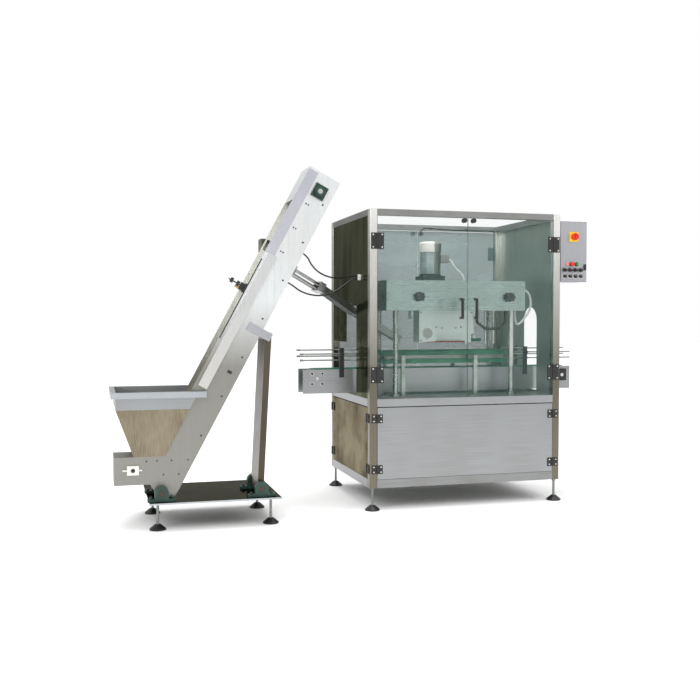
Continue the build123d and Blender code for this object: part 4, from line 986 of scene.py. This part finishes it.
@dataclass
class Elevator:
    """Inclined cleated cap elevator with its stand, hopper and chute."""

    finishes: Finishes
    near_y: float = -543.0  # near side sheet of the casing
    top_x: float = -250.0
    top_z: float = 2064.0
    angle: float = 61.73
    strip_skin: Pair = (0.4, 2.4)  # the edge strip's place in front of near_y
    strip_rise: float = 140.0  # and above the underside
    guard_skin: float = 2.5  # the guard stands out further
    shaft_skin: float = 4.0  # and so does the end of the tail shaft
    conveyor_bearing_x: float = 1400.0  # the conveyor's bearing lies right of it
    clamp: Pair = (-755.0, 1105.0)  # x and z beyond which the clamp bolt lies
    bracket_z: float = 1060.0  # foot of the post's bracket
    bracket_rise: float = -66.0  # above the underside
    rim_z: float = 775.5  # foot of the hopper's folded rim
    upright: float = 0.02  # most of a normal's share upward on its collar
    chute_line: tuple[Pair, ...] = ((-262.0, -114.0), (-10.0, 10.0), (328.0, 50.0))
    chute_cord: Pair = (28.2, 30.5)  # the green edge's place from that line
    take_up: Pair = (-1440.0, 400.0)  # x and z short of which the slides lie
    cylinder: Triple = (-848.0, 240.0, 900.0)  # up the slope, above it, height

    def along(self, x: float, z: float) -> Pair:
        """Distances of a point along the slope and square to it.

        Args:
            x: Place along the conveyor.
            z: Height.

        Returns:
            Distance up the slope from the upper end, and above the underside.
        """
        run, rise = x - self.top_x, z - self.top_z
        turn = radians(self.angle)
        return run * cos(turn) + rise * sin(turn), -run * sin(turn) + rise * cos(turn)

    def dress(self) -> None:
        """Give the elevator, stand, hopper and chute their finishes."""
        look = self.finishes
        dress("elevator_casing", look.elevator)
        paint("elevator_casing", look.edge_strip, self.on_strip)
        paint("elevator_casing", look.guard, span("y", high=self.near_y - self.guard_skin))
        dress("elevator_belt", look.cream_belt)
        paint("elevator_belt", look.green_cord, lambda c, n: abs(n.y) > FLAT)
        dress("elevator_head_drum", look.zinc)
        dress("elevator_tail_drum", look.zinc)
        paint("elevator_tail_drum", look.nylon, span("y", high=self.near_y - self.shaft_skin))
        dress("bearing_housings", look.bearing)
        paint("bearing_housings", look.nylon, span("x", self.conveyor_bearing_x))
        dress("elevator_base", look.base)
        paint("elevator_base", look.rim, lambda c, n: abs(n.z) < LEAN)
        dress("support_post", look.column)
        paint("support_post", look.zinc, lambda c, n: c.x > self.clamp[0] and c.z > self.clamp[1])
        paint("support_post", look.box_sheet, self.on_bracket)
        dress("hopper", look.hopper)
        paint("hopper", look.rim, span("z", self.rim_z))
        # Upright faces of the collar in the lighter, cooler sheet finish: painted light over the shade
        # on that band.
        paint("hopper", look.front_sheet, lambda c, n: c.z <= self.rim_z and abs(n.z) < self.upright)
        self.dress_chute()
        dress("elevator_fittings", look.nylon)
        paint("elevator_fittings", look.white, self.on_take_up)
        paint("elevator_fittings", look.brass, self.on_cylinder)
        dress("cable_gland", look.white)

    def dress_chute(self) -> None:
        """Give the chute its rods, channel, walls, green edges, and a painted shade under the channel.
        """
        look = self.finishes
        inner, outer = self.chute_cord
        dress("cap_chute", look.rails)
        paint("cap_chute", look.slideway, lambda c, n: self.in_channel(c))
        paint("cap_chute", look.deck, lambda c, n: self.in_channel(c, outer))
        # Downward faces of the channel in near-black enamel: painted shade under the chute.
        paint("cap_chute", look.gearbox_and_chute_shade, lambda c, n: n.z < -LEAN and self.in_channel(c, high=outer))
        paint(
            "cap_chute", look.green_cord, lambda c, n: n.z > LEAN and self.in_channel(c, inner, outer)
        )

    def in_channel(self, centre: Vector, low: float = -inf, high: float = inf) -> bool:
        """Tell whether a place on the channel lies between two distances from its centre line."""
        first, middle, last = (Vector(spot) for spot in self.chute_line)
        start, finish = (first, middle) if centre.x < middle.x else (middle, last)
        run = (finish - start).normalized()
        return centre.x > first.x and low < abs(run.cross(centre.xy - start)) < high

    def on_strip(self, centre: Vector, normal: Vector) -> bool:
        """Tell the faces of the upper edge strip."""
        near, far = self.strip_skin
        return (
            self.near_y - far < centre.y < self.near_y - near
            and self.along(centre.x, centre.z)[1] > self.strip_rise
        )

    def on_bracket(self, centre: Vector, normal: Vector) -> bool:
        """Tell the cheeks of the bracket that joins the post to the casing."""
        above = self.along(centre.x, centre.z)[1]
        return centre.z > self.bracket_z and above > self.bracket_rise and abs(normal.y) > FLAT

    def on_take_up(self, centre: Vector, normal: Vector) -> bool:
        """Tell the faces of the belt's take-up slides."""
        return centre.x < self.take_up[0] and centre.z < self.take_up[1]

    def on_cylinder(self, centre: Vector, normal: Vector) -> bool:
        """Tell the faces of the sensor's round body."""
        up, above = self.along(centre.x, centre.z)
        return up < self.cylinder[0] and above > self.cylinder[1] and centre.z > self.cylinder[2]


# ---------------- cables
@dataclass
class Cables:
    """Two sensor leads that hang between the elevator and the cabinet."""

    finishes: Finishes
    diameter: float = 10.0
    lengths: Pair = (0.574, 0.655)  # of the upper and lower lead, in metres
    upper: tuple[Triple, ...] = (
        (-26, -150, 1521), (-70, -152, 1519), (-135, -182, 1504), (-225, -242, 1500),
        (-320, -308, 1524), (-392, -372, 1573), (-430, -425, 1627), (-467.3, -425, 1647),
    )
    lower: tuple[Triple, ...] = (
        (-26, -150, 1501), (-68, -152, 1494), (-125, -172, 1455), (-200, -208, 1410),
        (-292, -258, 1384), (-385, -312, 1388), (-465, -362, 1411), (-527, -425, 1447),
        (-564.2, -425, 1467),
    )

    def build(self) -> None:
        """Build both leads."""
        for node, points, length in zip(
            ("cable_upper", "cable_lower"), (self.upper, self.lower), self.lengths
        ):
            curve = bpy.data.curves.new(f"{node}_line", "CURVE")
            curve.dimensions = "3D"
            curve.bevel_depth = self.diameter / 2 * MM
            curve.bevel_resolution = 6
            curve.resolution_u = 12
            curve.use_fill_caps = True
            spline = curve.splines.new("NURBS")
            spline.points.add(len(points) - 1)
            for point, place in zip(spline.points, points):
                point.co = (*(value * MM for value in place), 1.0)
            spline.order_u = 3
            spline.use_endpoint_u = True
            curve.materials.append(self.finishes.sheath)
            lead = placed(f"{node}_lead", curve)
            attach(lead, "machine")
            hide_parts(node)
            LOG.info("hung %s", node)


# ---------------- studio
@dataclass
class Studio:
    """Pale floor, soft lights and the camera. Places and spans are in metres, angles in degrees."""

    camera_place: Triple = (-1.733, -6.067, 1.246)
    yaw: float = 15.63
    pitch: float = 2.01
    lens: float = 47.8  # in millimetres
    floor_span: float = 60.0
    overhead: float = 1.0  # whitens the floor
    overhead_spread: float = 40.0

    def build(self) -> None:
        """Build the floor, world, lights and camera."""
        self.build_floor()
        self.build_world()
        self.build_lights()
        self.build_camera()

    def build_floor(self) -> None:
        """Build the floor."""
        mesh = bmesh.new()
        bmesh.ops.create_grid(mesh, x_segments=4, y_segments=4, size=self.floor_span / 2)
        data = bpy.data.meshes.new("studio_floor")
        mesh.to_mesh(data)
        mesh.free()
        # Painted plywood floor, matt: pale and even.
        data.materials.append(MattPaint("matt_white_floor", "#fbfbfb", "#f6f6f6").build())
        placed("studio_floor", data)

    def build_world(self) -> None:
        """Build the world: white to the camera, a darker hall behind for metal to mirror."""
        world = bpy.data.worlds.new("studio_world")
        world.use_nodes = True
        tree = world.node_tree
        tree.nodes.clear()
        place = add_node(tree, "ShaderNodeTexCoord")
        axes = add_node(tree, "ShaderNodeSeparateXYZ", links={0: place.outputs["Generated"]})
        rise = ranged(tree, axes.outputs[2], start=-0.1, stop=0.5)
        back = ranged(tree, axes.outputs[1], start=-0.2, stop=0.75)
        level = blended(tree, back, "#d9d8d5", "#56574f")
        around = blended(tree, rise, level, "#ffffff")
        seen = add_node(tree, "ShaderNodeLightPath")
        colour = blended(tree, seen.outputs["Is Camera Ray"], around, "#ffffff")
        light = add_node(tree, "ShaderNodeBackground", {"Strength": 1.0}, {"Color": colour})
        add_node(tree, "ShaderNodeOutputWorld", links={"Surface": light.outputs[0]})
        bpy.context.scene.world = world

    def build_lights(self) -> None:
        """Build the soft lights."""
        for name, place, aim, size, power in (
            ("key_light", (-3.6, -4.6, 4.4), (0.0, 0.0, 1.0), 3.2, 190.0),
            ("fill_light", (4.8, -3.2, 4.6), (0.4, 0.0, 1.0), 2.6, 70.0),
            ("top_light", (0.6, 0.3, 4.4), (0.6, 0.1, 1.0), 2.4, 70.0),
        ):
            data = bpy.data.lights.new(name, "AREA")
            data.shape = "SQUARE"
            data.size = size
            data.energy = power
            lamp = placed(name, data)
            lamp.location = place
            lamp.rotation_euler = (Vector(aim) - Vector(place)).to_track_quat("-Z", "Y").to_euler()
        data = bpy.data.lights.new("overhead_sun", "SUN")
        data.energy = self.overhead
        data.angle = radians(self.overhead_spread)
        placed("overhead_sun", data)

    def build_camera(self) -> None:
        """Build the camera."""
        data = bpy.data.cameras.new("camera")
        data.sensor_width = 36.0
        data.lens = self.lens
        data.clip_end = 200.0
        camera = placed("camera", data)
        camera.location = self.camera_place
        yaw, pitch = radians(self.yaw), radians(self.pitch)
        ahead = Vector((sin(yaw) * cos(pitch), cos(yaw) * cos(pitch), -sin(pitch)))
        camera.rotation_euler = ahead.to_track_quat("-Z", "Y").to_euler()
        bpy.context.scene.camera = camera
        bpy.context.scene.view_settings.view_transform = "Standard"


def main() -> None:
    """Build and dress the whole machine."""
    finishes = Finishes()
    cabinet = Cabinet(finishes)
    control_box = ControlBox(finishes)
    conveyor = Conveyor(finishes)
    head = CappingHead(finishes)
    for assembly in (cabinet, control_box, head, conveyor, Elevator(finishes)):
        assembly.dress()
    for assembly in (cabinet, control_box, head, conveyor, Cables(finishes)):
        assembly.build()
    Studio().build()


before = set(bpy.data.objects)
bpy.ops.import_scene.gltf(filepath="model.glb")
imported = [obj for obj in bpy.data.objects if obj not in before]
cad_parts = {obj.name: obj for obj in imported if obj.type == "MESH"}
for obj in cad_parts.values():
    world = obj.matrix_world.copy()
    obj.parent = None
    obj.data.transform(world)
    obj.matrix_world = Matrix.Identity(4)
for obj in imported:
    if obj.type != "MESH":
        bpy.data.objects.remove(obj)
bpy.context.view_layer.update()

if __name__ == "__main__":
    logging.basicConfig(level=logging.INFO, format="%(message)s")
    main()
